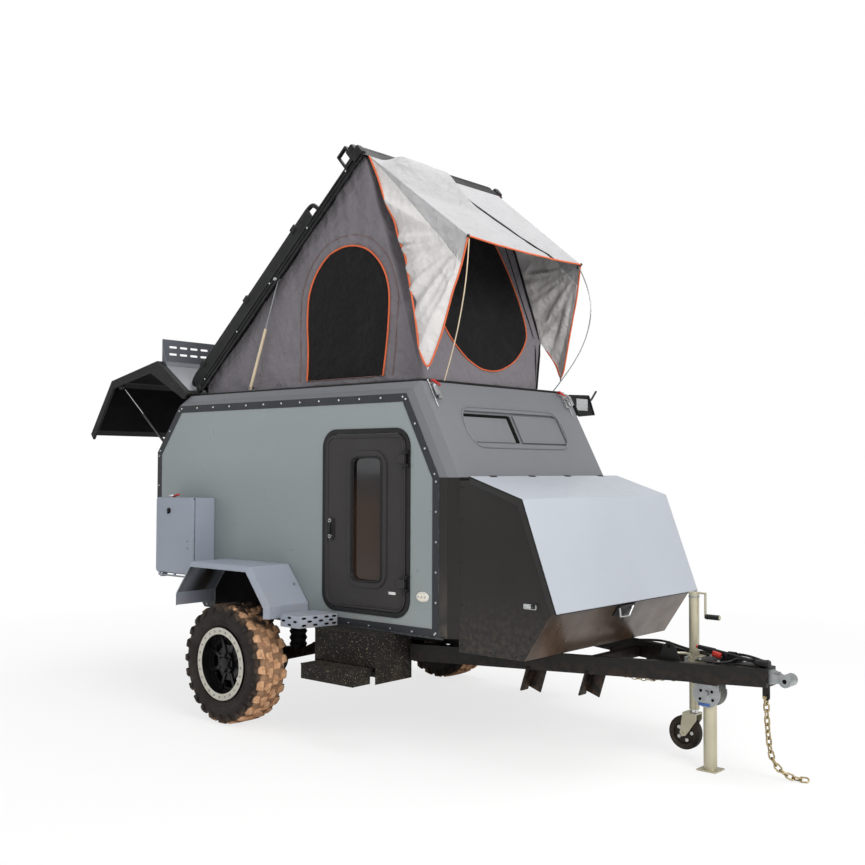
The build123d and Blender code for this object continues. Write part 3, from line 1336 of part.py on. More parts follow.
# Slotted rack on the hatch: a flat foot and an upright wall
rack_half = hatch_half - 45.0
rack_high = 175.0
rack_foot = 70.0
rack_plate = 4.0
hatch_bend = hatch_outer[1]
hatch_up = Vector(hatch_bend[0] - hatch_outer[0][0], 0, hatch_bend[1] - hatch_outer[0][1]).normalized()
rack_edge = [
    (hatch_bend[0] - hatch_up.X * rack_foot, hatch_bend[1] - hatch_up.Z * rack_foot),
    (hatch_bend[0], hatch_bend[1]),
]
foot_line = parallel(rack_edge, -clearance)
with BuildPart() as hatch_rack:
    with BuildSketch(side_plane(-rack_half)):
        draw(band(foot_line, -rack_plate))
    extrude(amount=-2.0 * rack_half)
    with Locations((foot_line[1][0] + 3.0, 0, foot_line[1][1] + 0.5)):
        Box(rack_plate, 2.0 * rack_half, rack_high, align=standing)
    with BuildSketch(Plane.YZ.offset(foot_line[1][0] + 3.0)):
        for z in (foot_line[1][1] + 62.0, foot_line[1][1] + 118.0):
            with GridLocations(100.0, 1.0, 15, 1):
                with Locations((0, z)):
                    SlotOverall(72.0, 16.0)
    extrude(amount=20.0, both=True, mode=Mode.SUBTRACT)
    for side in (-1, 1):
        with BuildSketch(side_plane(side * rack_half)):
            draw([
                (foot_line[1][0] + 3.0, foot_line[1][1] + 1.0),
                (foot_line[1][0] + 3.0, foot_line[1][1] + 130.0),
                (foot_line[0][0] + 3.0, foot_line[0][1] + 8.0),
                (foot_line[0][0] + 1.0, foot_line[0][1] + 2.0),
            ])
        extrude(amount=side * rack_plate)
save(hatch_rack, "hatch_rack")

# Cable on the drawbar's nose and the plug that it ends in
cable_radius = 6.0
cable_z = drawbar_top_z + cable_radius
plug_radius = 21.0
plug_x = axle_x + 3232.0
plug_y = -34.0
with BuildPart() as cable_plug:
    with Locations(Location((plug_x, plug_y, drawbar_top_z + plug_radius), (0, 90, 0))):
        Cylinder(plug_radius, 76.0, align=standing)
        Cylinder(cable_radius + clearance, 24.0, align=standing, mode=Mode.SUBTRACT)
save(cable_plug, "cable_plug")

with BuildPart() as drawbar_cable:
    with BuildLine() as cable_line:
        Spline(
            (axle_x + 3016.0, -112.0, cable_z + 1.0),
            (axle_x + 3082.0, -96.0, cable_z + 4.0),
            (axle_x + 3120.0, -50.0, cable_z + 30.0),
            (axle_x + 3170.0, -36.0, cable_z + 24.0),
            (axle_x + 3252.0, plug_y, drawbar_top_z + plug_radius),
            tangents=((1, 0, 0), (1, 0, 0)))
    with BuildSketch(Plane(origin=cable_line.line @ 0, z_dir=cable_line.line % 0)):
        Circle(cable_radius)
    sweep(path=cable_line.line)
save(drawbar_cable, "drawbar_cable")
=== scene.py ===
import bpy
import bmesh
from math import atan2, cos, hypot, pi, radians, sin, sqrt
from mathutils import Matrix, Vector, noise


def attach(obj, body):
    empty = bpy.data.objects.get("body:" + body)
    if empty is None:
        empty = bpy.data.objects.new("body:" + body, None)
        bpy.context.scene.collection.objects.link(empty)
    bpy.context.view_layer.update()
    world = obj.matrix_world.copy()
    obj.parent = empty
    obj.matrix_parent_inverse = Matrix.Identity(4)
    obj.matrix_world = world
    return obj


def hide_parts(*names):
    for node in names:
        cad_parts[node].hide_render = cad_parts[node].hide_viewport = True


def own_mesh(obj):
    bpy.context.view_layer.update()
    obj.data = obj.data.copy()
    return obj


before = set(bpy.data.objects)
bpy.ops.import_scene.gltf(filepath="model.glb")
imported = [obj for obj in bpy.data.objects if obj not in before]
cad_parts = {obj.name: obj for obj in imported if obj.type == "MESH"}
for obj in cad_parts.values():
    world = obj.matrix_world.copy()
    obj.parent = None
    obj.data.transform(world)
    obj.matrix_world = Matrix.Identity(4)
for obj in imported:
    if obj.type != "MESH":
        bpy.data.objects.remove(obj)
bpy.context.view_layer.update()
print("frame loaded")

axleX = -0.6306     # the wheels' axis, where the measures along the trailer start
axleZ = 0.4
sides = ((-1, "right"), (1, "left"))


def at(x, y, z):
    return Vector((axleX + x, y, z))


# camera, at the eye point and lens of the reference view
camera = {"eye": (5.2508, -5.8329, 1.7096), "turn": 41.036, "lift": 1.885, "roll": 0.176, "lens": 45.418,
    "sensor": 36.0}
camData = bpy.data.cameras.new("viewCamera")
camData.lens = camera["lens"]
camData.sensor_width = camera["sensor"]
camObject = bpy.data.objects.new("viewCamera", camData)
bpy.context.scene.collection.objects.link(camObject)
turn, lift = radians(camera["turn"]), radians(camera["lift"])
look = Vector((-sin(turn) * cos(lift), cos(turn) * cos(lift), sin(lift)))
aim = look.to_track_quat("-Z", "Y").to_matrix() @ Matrix.Rotation(radians(camera["roll"]), 3, "Z")
camObject.matrix_world = Matrix.Translation(camera["eye"]) @ aim.to_4x4()
bpy.context.scene.camera = camObject
bpy.context.scene.view_settings.view_transform = "Standard"


# materials
def linear(rgb):
    return tuple((c / 255.0) ** 2.2 for c in rgb) + (1.0,)


def dimmed(colour, share):
    return tuple(c * share for c in colour[:3]) + (1.0,)


looks = {}
midSpan = (0.3, 0.7)      # the part of a noise's range that soft patches use
clumpSpan = (0.42, 0.62)  # the part that gives clumps with clear edges


# the node tree of one material, with short calls for the nodes that recur
class Shade:
    def __init__(self, name):
        self.material = looks[name] = bpy.data.materials.new(name)
        self.material.use_nodes = True
        self.tree = self.material.node_tree
        self.shader = self.tree.nodes["Principled BSDF"]
        self.place = self.tree.nodes.new("ShaderNodeTexCoord")
        self.spot = self.place.outputs["Object"]

    def feed(self, socket, value):
        if hasattr(value, "is_linked"):
            self.tree.links.new(value, socket)
        else:
            socket.default_value = value

    def node(self, kind, inputs=(), **values):
        made = self.tree.nodes.new("ShaderNode" + kind)
        for key, value in values.items():
            setattr(made, key, value)
        for key, value in dict(inputs).items():
            self.feed(made.inputs[key], value)
        return made

    def give(self, values):
        for key, value in values.items():
            self.feed(self.shader.inputs[key], value)

    def noise(self, scale, detail=3.0, source=None):
        return self.node("TexNoise", {"Vector": source or self.spot, "Scale": scale, "Detail": detail}).outputs["Fac"]

    def span(self, value, low, high, to=(0.0, 1.0)):
        inputs = {"Value": value, "From Min": low, "From Max": high, "To Min": to[0], "To Max": to[1]}
        return self.node("MapRange", inputs).outputs["Result"]

    def patches(self, scale, detail=3.0, to=(0.0, 1.0), within=midSpan):
        return self.span(self.noise(scale, detail), *within, to)

    def times(self, a, b, how="MULTIPLY"):
        return self.node("Math", {0: a, 1: b}, operation=how).outputs[0]

    def vector(self, how, *inputs):
        return self.node("VectorMath", dict(enumerate(inputs)), operation=how)

    def mix(self, share, a, b):
        return self.node("Mix", {0: share, 6: a, 7: b}, data_type="RGBA").outputs[2]

    def bump(self, height, strength, distance, under=None):
        inputs = {"Height": height, "Strength": strength, "Distance": distance}
        if under is not None:
            inputs["Normal"] = under
        return self.node("Bump", inputs).outputs["Normal"]

    def normal(self):
        return self.node("NewGeometry").outputs["True Normal"]

    def part(self, axis, source=None):
        return self.node("SeparateXYZ", {0: source or self.spot}).outputs[axis]


paintLook = {
    "vary": 0.12, "patch": 1.6, "rough": 0.4, "roughSpread": 0.07, "smear": 7.0, "round": 0.003, "metal": 0.0,
    "spec": 0.5, "coat": 0.0, "coatRough": 0.12, "grain": 420.0, "grainBump": 0.12, "grainDeep": 0.001,
    "speckScale": 70.0, "speckFrom": 0.66, "speckSoft": 0.03, "flankSpan": (0.6, 0.7),
    # the bevel values paint a sky reflection: grey bevels above a height, the dark coat below it
    "bevelSpan": (0.96, 0.98), "bevelReflectionFrom": (1.655, 1.657), "bevelLow": (24, 21, 20),
    # the under values paint light on downward faces: painted shade, and on the nose box a painted reflection of the
    # ground
    "underSpan": (-0.15, -0.25), "underStretch": (0.4, 2.6, 0.5), "underScale": 1.6, "underShare": (0.35, 1.0),
    "belowSoft": 0.002, "wornEdge": (0.995, 0.9), "wornScale": 24.0, "wornSpan": (0.46, 0.58),
    "mudSpan": (0.3, 0.9), "mudScale": 9.0, "mudShare": 0.5}


# coated or bare metal and plastic: a base colour with patches, grain, worn edges and mud, with painted light too:
# painted reflection and shade on downward faces, painted sky reflection on bevels above the fold
def paint(name, rgb, **values):
    s, look, base = Shade(name), {**paintLook, **values}, linear(rgb)
    colour = s.mix(s.patches(look["patch"]), dimmed(base, 1.0 - look["vary"]), base)
    rounded = s.node("Bevel", {"Radius": look["round"]}, samples=4).outputs["Normal"]
    if "speck" in look:
        start = look["speckFrom"]
        dots = s.span(s.noise(look["speckScale"], 2.0), start, start + look["speckSoft"])
        colour = s.mix(dots, colour, linear(look["speck"]))
    if "flank" in look:
        aside = s.part("Y", s.normal())
        colour = s.mix(s.span(s.times(aside, aside), *look["flankSpan"]), colour, linear(look["flank"]))
    # painted sky reflection: faces that do not face sideways turn grey above the fold height and keep the dark coat
    # below it
    if "bevels" in look:
        aside, height = s.part("Y", s.normal()), s.part("Z")
        bevelToneWithReflection = s.mix(s.span(height, *look["bevelReflectionFrom"]), linear(look["bevelLow"]), linear(look["bevels"]))
        colour = s.mix(s.span(s.times(aside, aside), *look["bevelSpan"]), bevelToneWithReflection, colour)
    # painted light on downward faces: streaked patches of the under tone, painted shade under the fenders and side
    # boxes, a painted reflection of the ground on the nose box's lower front
    if "under" in look:
        down = s.part("Z", s.normal())
        underLightStreak = s.vector("MULTIPLY", s.spot, look["underStretch"]).outputs["Vector"]
        facing = s.span(down, *look["underSpan"])
        cover = s.times(facing, s.span(s.noise(look["underScale"], 3.0, underLightStreak), *clumpSpan, look["underShare"]))
        colour = s.mix(cover, colour, linear(look["under"]))
    # below a height the colour turns to the given tone; on the cabin this is its dark coat, under the painted sky
    # reflection grey above
    if "below" in look:
        tone, level = look["below"]
        colour = s.mix(s.span(s.part("Z"), level + look["belowSoft"], level), colour, linear(tone))
    if "worn" in look:
        facing = s.vector("DOT_PRODUCT", rounded, s.normal()).outputs["Value"]
        facing = s.span(facing, *look["wornEdge"])
        edge = s.times(facing, s.patches(look["wornScale"], 4.0, within=look["wornSpan"]))
        colour = s.mix(edge, colour, linear(look["worn"]))
    if "mud" in look:
        low, high = look["mudSpan"]
        cover = s.times(s.span(s.part("Z"), high, low), s.patches(look["mudScale"], 6.0, within=clumpSpan))
        colour = s.mix(s.times(cover, look["mudShare"]), colour, linear(look["mud"]))
    rough, spread = look["rough"], look["roughSpread"]
    s.give({"Base Color": colour, "Metallic": look["metal"], "Specular IOR Level": look["spec"],
            "Roughness": s.patches(look["smear"], 4.0, (rough - spread, rough + spread))})
    if look["coat"]:
        s.give({"Coat Weight": look["coat"], "Coat Roughness": look["coatRough"]})
    s.give({"Normal": s.bump(s.noise(look["grain"], 2.0), look["grainBump"], look["grainDeep"], rounded)})


clothLook = {
    "vary": 0.16, "patch": 3.0, "pitch": 260.0, "wander": 0.6, "weaveTone": 0.25, "weaveDim": 0.6, "rough": 0.85,
    "roughSpread": 0.06, "sheen": 0.25, "sheenRough": 0.5, "spec": 0.3, "pucker": 7.0, "puckerBump": 0.35,
    "creaseShare": 1.6, "creaseDeep": 0.05, "fineScale": 16.0, "fineDeep": 0.02, "weaveBump": 0.25, "weaveDeep": 0.0006}


# woven cloth on the piece's own UV map, in metres: weave, slubs, soft puckers and sheen
def cloth(name, rgb, **values):
    s, look, base = Shade(name), {**clothLook, **values}, linear(rgb)
    colour = s.mix(s.patches(look["patch"], 5.0), dimmed(base, 1.0 - look["vary"]), base)
    threads = {"Vector": s.place.outputs["UV"], "Scale": look["pitch"], "Distortion": look["wander"]}
    warp, weft = [s.node("TexWave", threads, bands_direction=way).outputs["Fac"] for way in ("X", "Y")]
    weave = s.times(warp, weft)
    rough, spread = look["rough"], look["roughSpread"]
    s.give({"Base Color": s.mix(s.times(weave, look["weaveTone"]), colour, dimmed(base, look["weaveDim"])),
            "Roughness": s.patches(30.0, 3.0, (rough - spread, rough + spread)), "Sheen Weight": look["sheen"],
            "Sheen Roughness": look["sheenRough"], "Specular IOR Level": look["spec"]})
    wide = s.times(s.times(s.noise(look["pucker"], 2.0), 0.5, "SUBTRACT"), 0.0, "ABSOLUTE")
    creases = s.bump(s.times(wide, -1.0), look["puckerBump"] * look["creaseShare"], look["creaseDeep"])
    fine = s.bump(s.noise(look["fineScale"], 5.0), look["puckerBump"], look["fineDeep"], creases)
    s.give({"Normal": s.bump(weave, look["weaveBump"], look["weaveDeep"], fine)})


sandMud, darkMud, boxDark, bareBlack = (205, 150, 108), (150, 128, 104), (24, 21, 20), (20, 20, 21)
# the grey on this panel's bevels above the fold is a painted sky reflection
paint("panelGrey", (140, 149, 150), bevels=(104, 106, 111), rough=0.34, patch=0.7, vary=0.06, coat=0.35,
      grainBump=0.04, mud=darkMud, mudSpan=(0.6, 1.1), mudShare=0.2)
paint("trimSlate", (50, 52, 56), rough=0.45, worn=(110, 110, 110), grainBump=0.2, spec=0.35)
# on the front window and its shutters this grey is a painted sky reflection on the upper face of the dark shell
paint("roofGrey", (117, 119, 124), rough=0.42, patch=1.1, vary=0.08, coat=0.1)
# the grey above the fold is a painted sky reflection; below it the box's dark coat shows
paint("cabinSkyReflectionGrey", (117, 119, 124), rough=0.42, patch=1.1, vary=0.08, below=(boxDark, 1.655))
paint("doorDark", (50, 47, 47), rough=0.46, grain=600.0, grainBump=0.3, round=0.006, spec=0.4)
# the dark under tone here is painted shade on the downward faces
paint("steelBlue", (150, 157, 170), under=(26, 24, 22), patch=2.2, vary=0.08, worn=(180, 184, 190), round=0.004,
      mud=darkMud, mudSpan=(0.7, 1.0), mudShare=0.25)
# the brown under tone here is a painted reflection of the ground on the lower front face
paint("noseBlack", (30, 26, 24), under=(78, 63, 52), rough=0.34, patch=2.0, vary=0.15, coat=0.15, round=0.005,
      worn=(84, 76, 70), mud=darkMud, mudSpan=(0.6, 1.0), mudShare=0.10, mudScale=30.0, spec=0.4)
paint("noseLidBlue", (176, 182, 191), rough=0.36, patch=1.2, vary=0.07, coat=0.2, round=0.007, flank=(27, 23, 21))
paint("hatchSlate", (30, 30, 29), rough=0.5, worn=(92, 90, 84), grainBump=0.25, spec=0.3)
paint("rackGrey", (92, 95, 102), rough=0.45, vary=0.15, worn=(150, 152, 156))
paint("bedBlack", (20, 21, 21), rough=0.5, grain=300.0, grainBump=0.3, worn=(70, 70, 68), vary=0.2, spec=0.35)
paint("chassisBlack", (17, 15, 14), rough=0.45, vary=0.2, worn=(66, 58, 52), mud=sandMud, mudSpan=(0.3, 0.6),
      mudShare=0.10, mudScale=26.0, spec=0.35)
paint("stepGrit", (33, 31, 28), rough=0.78, vary=0.25, patch=6.0, grain=240.0, grainBump=0.7, worn=(82, 76, 68),
      speck=(158, 144, 122), speckScale=130.0, mud=darkMud, mudSpan=(0.3, 0.6), mudShare=0.12, spec=0.3)
paint("ringWhite", (206, 202, 190), rough=0.45, patch=9.0, worn=(150, 136, 118), mud=darkMud,
      mudSpan=(0.1, 0.6), mudShare=0.12, mudScale=30.0)
paint("rimBlack", (19, 19, 20), rough=0.36, vary=0.2, worn=(64, 62, 60), spec=0.45)
paint("zincCream", (192, 186, 162), rough=0.34, metal=0.5, vary=0.16, patch=8.0, worn=(226, 224, 214))
paint("galvanised", (168, 172, 174), metal=0.8, vary=0.25, patch=26.0)
paint("brightSteel", (200, 201, 202), rough=0.24, metal=0.95, patch=12.0, round=0.001)
paint("chainZinc", (182, 166, 128), rough=0.36, metal=0.85, vary=0.3, patch=40.0, speck=(120, 84, 56),
      speckScale=60.0, speckFrom=0.62, round=0.001)
paint("strutBlack", (22, 22, 24), rough=0.3, coat=0.3, round=0.001)
paint("strutBrass", (222, 204, 176), rough=0.36, metal=0.3, round=0.001)
paint("plasticBlack", bareBlack, rough=0.5, grain=500.0, grainBump=0.35, round=0.002, spec=0.4)
paint("rubberBlack", (20, 20, 20), rough=0.75, vary=0.2, patch=10.0, mud=darkMud, mudSpan=(0.0, 0.5),
      mudShare=0.15, spec=0.35)
paint("leverRed", (190, 42, 34), rough=0.34, coat=0.3, round=0.002)
paint("labelBlue", (62, 96, 160), rough=0.45, vary=0.15, patch=30.0)
paint("whitePlate", (232, 232, 228), rough=0.32, coat=0.4, round=0.002)
# dark lining; the same material is painted shade in holes and under the fenders
paint("liningDark", (18, 17, 17), rough=0.9, grain=300.0, grainBump=0.4, vary=0.3, spec=0.15)
paint("awningGrey", (168, 170, 172), patch=3.0, vary=0.1)
cloth("tentGrey", (124, 120, 126), vary=0.12, sheen=0.15, puckerBump=0.55)
cloth("flyWarm", (212, 210, 209), vary=0.07, sheen=0.1, puckerBump=0.5, weaveTone=0.10)
# painted shade: a darker copy of the fly cloth, for its roof sheet
cloth("flyShadedCopy", (174, 174, 176), vary=0.06, sheen=0.05, puckerBump=0.5, weaveTone=0.10)
cloth("meshBlack", (24, 23, 26), vary=0.3, pitch=170.0, sheen=0.04, weaveTone=0.6)
cloth("pipingOrange", (226, 112, 72), vary=0.12, pitch=120.0, sheen=0.05)
cloth("threadBrown", (128, 92, 84), vary=0.2, pitch=120.0)
cloth("webbingBlack", (20, 20, 22), vary=0.2, pitch=130.0, sheen=0.05)


# a coated pane or lens whose tone changes between two heights
def glass(name, top, low, heights, rough):
    s = Shade(name)
    height = s.part("Z")
    wave = s.times(s.noise(1.4, 2.0), 0.16)
    share = s.span(s.times(height, wave, "ADD"), *heights)
    s.give({"Base Color": s.mix(share, linear(low), linear(top)),
        "Roughness": s.patches(5.0, 3.0, (rough, rough + 0.05)),
            "Coat Weight": 0.2, "Normal": s.bump(s.noise(2.2), 0.1, 0.01)})


glass("tintedGlass", (20, 20, 22), (56, 42, 33), (1.55, 1.75), 0.06)
glass("redLens", (150, 16, 12), (120, 12, 10), (0.6, 0.7), 0.12)
glass("amberLens", (232, 226, 210), (206, 196, 176), (0.9, 0.96), 0.1)

rubber = {
    "dark": (34, 30, 29), "light": (52, 46, 43), "dust": (112, 92, 76), "dustFrom": (0.345, 0.372), "dustShare": 0.55,
    "treadFrom": (0.381, 0.3915), "mudFront": (2.2, 0.0, -0.9), "mudShift": (-0.26, 0.17), "mudSpan": (0.43, 0.52),
    "mudDark": (178, 132, 96), "mudLight": (238, 190, 150), "rough": (0.72, 0.92), "spec": 0.35}


# rubber with dried mud on the tread blocks and a dusty side wall
def tyreMaterial():
    s = Shade("tyreRubber")
    centre = s.vector("SUBTRACT", s.spot, (axleX, 0.0, axleZ)).outputs["Vector"]
    flat = s.vector("MULTIPLY", centre, (1.0, 0.0, 1.0)).outputs["Vector"]
    reach = s.vector("LENGTH", flat).outputs["Value"]
    front = s.vector("DOT_PRODUCT", flat, rubber["mudFront"]).outputs["Value"]
    wall = s.mix(s.patches(5.0, 5.0), linear(rubber["dark"]), linear(rubber["light"]))
    shoulder = s.times(s.span(reach, *rubber["dustFrom"]), s.patches(13.0, 6.0, within=clumpSpan))
    wall = s.mix(s.times(shoulder, rubber["dustShare"]), wall, linear(rubber["dust"]))
    onTread = s.span(reach, *rubber["treadFrom"])
    shifted = s.times(s.noise(11.0, 6.0), s.span(front, -0.5, 0.75, rubber["mudShift"]), "ADD")
    clumps = s.span(shifted, *rubber["mudSpan"])
    mud = s.mix(s.patches(30.0, 5.0), linear(rubber["mudDark"]), linear(rubber["mudLight"]))
    s.give({"Base Color": s.mix(s.times(onTread, clumps), wall, mud),
        "Roughness": s.patches(18.0, 3.0, rubber["rough"]),
            "Specular IOR Level": rubber["spec"]})
    fine = s.bump(s.noise(160.0, 4.0), 0.35, 0.002)
    s.give({"Normal": s.bump(s.noise(26.0, 5.0), 0.4, 0.006, fine)})


tyreMaterial()
print("materials ready")

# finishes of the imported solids, by material
finishes = {
    "rubberBlack": "air_springs jockey_wheel", "plasticBlack": "awning_case cable_plug door_frames drawbar_cable",
    "bedBlack": "bed_base bed_lid", "strutBrass": "bed_strut_barrel_left bed_strut_barrel_right fly_rods",
    "galvanised": "bed_strut_rod_left bed_strut_rod_right coupling_eye drop_leg_bracket hatch_hinges",
    "cabinSkyReflectionGrey": "cabin_shell", "chassisBlack": "chassis_frame drawbar handbrake trailing_arms",
    "tintedGlass": "door_glass_left door_glass_right", "doorDark": "door_leaf_left door_leaf_right",
    "zincCream": "drop_leg jockey_fork jockey_post", "roofGrey": "front_window", "rackGrey": "hatch_rack",
    "steelBlue": "fenders side_box_door_left side_box_door_right side_boxes", "hatchSlate": "hatch_shell",
    "strutBlack": "hatch_strut_barrel_left hatch_strut_barrel_right hatch_strut_brackets",
    "brightSteel": "hatch_strut_rod_left hatch_strut_rod_right jockey_tube nose_latches roof_latches",
    "amberLens": "marker_lamps", "noseBlack": "nose_box", "noseLidBlue": "nose_lid", "trimSlate": "panel_trim",
    "chainZinc": "safety_chain", "panelGrey": "side_panel_left side_panel_right",
    "stepGrit": "step_cases step_tread_left step_tread_right", "redLens": "tail_lamps",
    "rimBlack": "wheel_left wheel_right", "flyWarm": "bed_fly", "tentGrey": "bed_walls",
    "tyreRubber": "tyre_left tyre_right"}
for finish, nodeNames in finishes.items():
    for nodeName in nodeNames.split():
        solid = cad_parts[nodeName]
        if not solid.material_slots:
            solid.data.materials.append(looks[finish])
        for spot in solid.material_slots:
            spot.material = looks[finish]


# a named piece from a mesh: its materials by name and the body it rides on
def piece(name, bm, materials, body, smooth=30.0):
    mesh = bpy.data.meshes.new(name)
    bm.to_mesh(mesh)
    bm.free()
    made = bpy.data.objects.new(name, mesh)
    bpy.context.scene.collection.objects.link(made)
    for material in materials.split():
        mesh.materials.append(looks[material])
    if smooth:
        mesh.shade_smooth()
        mesh.set_sharp_from_angle(angle=radians(smooth))
    if body:
        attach(made, body)
    return made


# the shapes take their place, or the places of their ends, as points in the frame
def block(bm, centre, size, bevel=0.0, index=0, turned=None):
    matrix = Matrix.Translation(centre) @ (turned or Matrix()) @ Matrix.Diagonal((*size, 1.0))
    made = bmesh.ops.create_cube(bm, size=1.0, matrix=matrix)
    edges = {e for v in made["verts"] for e in v.link_edges}
    for face in {f for v in made["verts"] for f in v.link_faces}:
        face.material_index = index
    if bevel:
        bmesh.ops.bevel(bm, geom=list(edges), offset=bevel, segments=2, profile=0.5, affect="EDGES", material=-1)


def rod(bm, ends, radius, segments=16, index=0, tip=None):
    start, end = Vector(ends[0]), Vector(ends[1])
    run = end - start
    matrix = Matrix.Translation((start + end) / 2) @ run.to_track_quat("Z", "Y").to_matrix().to_4x4()
    made = bmesh.ops.create_cone(
        bm, cap_ends=True, segments=segments, radius1=radius, radius2=radius if tip is None else tip,
        depth=run.length, matrix=matrix)
    for face in {f for v in made["verts"] for f in v.link_faces}:
        face.material_index = index


def bolt(bm, spot, way, radius, high, segments=6, index=0):
    rod(bm, (spot, Vector(spot) + Vector(way).normalized() * high), radius, segments, index, radius * 0.86)


# a round bar along a smooth or straight line, from a curve
def pipe(bm, points, radius, index=0, closed=False, smooth=True):
    curve = bpy.data.curves.new("pipe", "CURVE")
    curve.dimensions = "3D"
    curve.bevel_depth = radius
    curve.bevel_resolution = 2
    curve.use_fill_caps = True
    spline = curve.splines.new("NURBS" if smooth else "POLY")
    spline.points.add(len(points) - 1)
    for spot, point in zip(spline.points, points):
        spot.co = (*point, 1.0)
    spline.use_cyclic_u = closed
    if smooth:
        spline.order_u = 3
        spline.use_endpoint_u = not closed
        spline.resolution_u = 4
    holder = bpy.data.objects.new("pipe", curve)
    bpy.context.scene.collection.objects.link(holder)
    bpy.context.view_layer.update()
    mesh = bpy.data.meshes.new_from_object(holder.evaluated_get(bpy.context.evaluated_depsgraph_get()))
    before = set(bm.faces)
    bm.from_mesh(mesh)
    for face in set(bm.faces) - before:
        face.material_index = index
    bpy.data.objects.remove(holder)
    bpy.data.curves.remove(curve)
    bpy.data.meshes.remove(mesh)


# the shapes of one dictionary: each row is the shape, its place or places and its own values.
# blocks and bolts stand at each place; rods and pipes run through all of them
def build(bm, parts, where=at, turned=None, side=1):
    for shape, spots, *values in parts.values():
        placed = [where(x, side * y, z) for x, y, z in (spots if isinstance(spots, list) else [spots])]
        if shape is bolt:
            wayX, wayY, wayZ = values[0]
            values[0] = (wayX, side * wayY, wayZ)
        extra = {"turned": turned} if shape is block and len(values) < 4 else {}
        for spot in placed if shape in (block, bolt) else [placed]:
            shape(bm, spot, *values, **extra)


def extruded(bm, points, way):
    plate = bm.faces.new([bm.verts.new(point) for point in points])
    raised = bmesh.ops.extrude_face_region(bm, geom=[plate])["geom"]
    bmesh.ops.translate(bm, verts=[g for g in raised if isinstance(g, bmesh.types.BMVert)], vec=way)


# a line of (radius, place across) spun round the wheel's axis
def lathe(bm, outline, steps, index=0, closed=False):
    line = [bm.verts.new((radius, y, 0.0)) for radius, y in outline]
    edges = [bm.edges.new(pair) for pair in zip(line, line[1:] + line[:1] if closed else line[1:])]
    before = set(bm.faces)
    bmesh.ops.spin(bm, geom=line + edges, axis=(0, 1, 0), cent=(0, 0, 0), angle=2 * pi, steps=steps, use_merge=True)
    for face in set(bm.faces) - before:
        face.material_index = index


# adds the mirror image across the middle plane
def bothSides(bm):
    twin = bmesh.ops.duplicate(bm, geom=bm.verts[:] + bm.edges[:] + bm.faces[:])["geom"]
    verts = [g for g in twin if isinstance(g, bmesh.types.BMVert)]
    bmesh.ops.scale(bm, vec=(1.0, -1.0, 1.0), verts=verts)
    bmesh.ops.reverse_faces(bm, faces=[g for g in twin if isinstance(g, bmesh.types.BMFace)])


# turns a mesh that was made for the right side over to its own side
def toSide(bm, side):
    if side > 0:
        bmesh.ops.scale(bm, vec=(1, -1, 1), verts=bm.verts)
        bmesh.ops.reverse_faces(bm, faces=bm.faces)


# a turn from the directions of a shape's own three axes
def facing(x, y, z):
    return Matrix((tuple(x), tuple(y), tuple(z))).transposed().to_4x4()


def tilted(degrees, axis):
    return Matrix.Rotation(radians(degrees), 4, axis)


# tyres
tyre = {
    "base": 0.386, "half": 0.134, "pitches": 24, "wheelY": 1.102, "steps": 120, "sunk": 0.006, "draft": 0.1,
    "shoulder": {"inner": 0.066, "outer": 0.010, "wide": (0.30, 0.36), "high": 0.0135},
    "middle": {"high": 0.014, "rows": (
        (0.25, [(-0.34, 0.004), (-0.30, 0.052), (0.05, 0.060), (0.10, 0.040), (0.36, 0.034), (0.30, 0.006)]),
        (0.75, [(-0.30, -0.006), (0.34, -0.004), (0.30, -0.052), (-0.05, -0.060), (-0.10, -0.040), (-0.36, -0.034)]))},
    "lug": {"inset": 0.022, "high": 0.0215, "top": 0.372, "low": (0.342, 0.332)},
    # the section from the bead to the tread: radius, and distance in from the side wall
    "wall": [(0.2465, 0.020), (0.256, 0.011), (0.27, 0.003), (0.282, 0.006), (0.29, 0.001), (0.31, -0.001),
             (0.33, 0.002), (0.345, 0.009), (0.363, 0.016), (0.378, 0.026), (0.386, 0.040)],
    "bead": [(0.2435, -0.1117), (0.2165, -0.1117), (0.2165, 0.1117), (0.2435, 0.1117)], "crown": (0.04, 0.0, -0.04)}
pitchTurn = 2 * pi / tyre["pitches"]


def raisedFace(bm, foot):
    face = bm.faces.new([bm.verts.new(point) for point in foot])
    top = bmesh.ops.extrude_face_region(bm, geom=[face])["geom"]
    return face, top, [g for g in top if isinstance(g, bmesh.types.BMVert)]


# a rubber block on the tread: corners are (turn in pitches, place across, lift lost)
def treadBlock(bm, corners, high):
    foot = []
    for a, y, low in corners:
        r = tyre["base"] - tyre["sunk"] - low
        foot.append((r * cos(a * pitchTurn), y, r * sin(a * pitchTurn)))
    face, top, raised = raisedFace(bm, foot)
    middle = sum((v.co for v in raised), Vector()) / len(raised)
    for v in raised:
        out = Vector((v.co.x, 0, v.co.z)).normalized()
        v.co += out * (high + tyre["sunk"]) + (middle - v.co) * tyre["draft"]
    faces = [g for g in top if isinstance(g, bmesh.types.BMFace)] + [face]
    bmesh.ops.recalc_face_normals(bm, faces=list({f for v in raised for f in v.link_faces} | set(faces)))


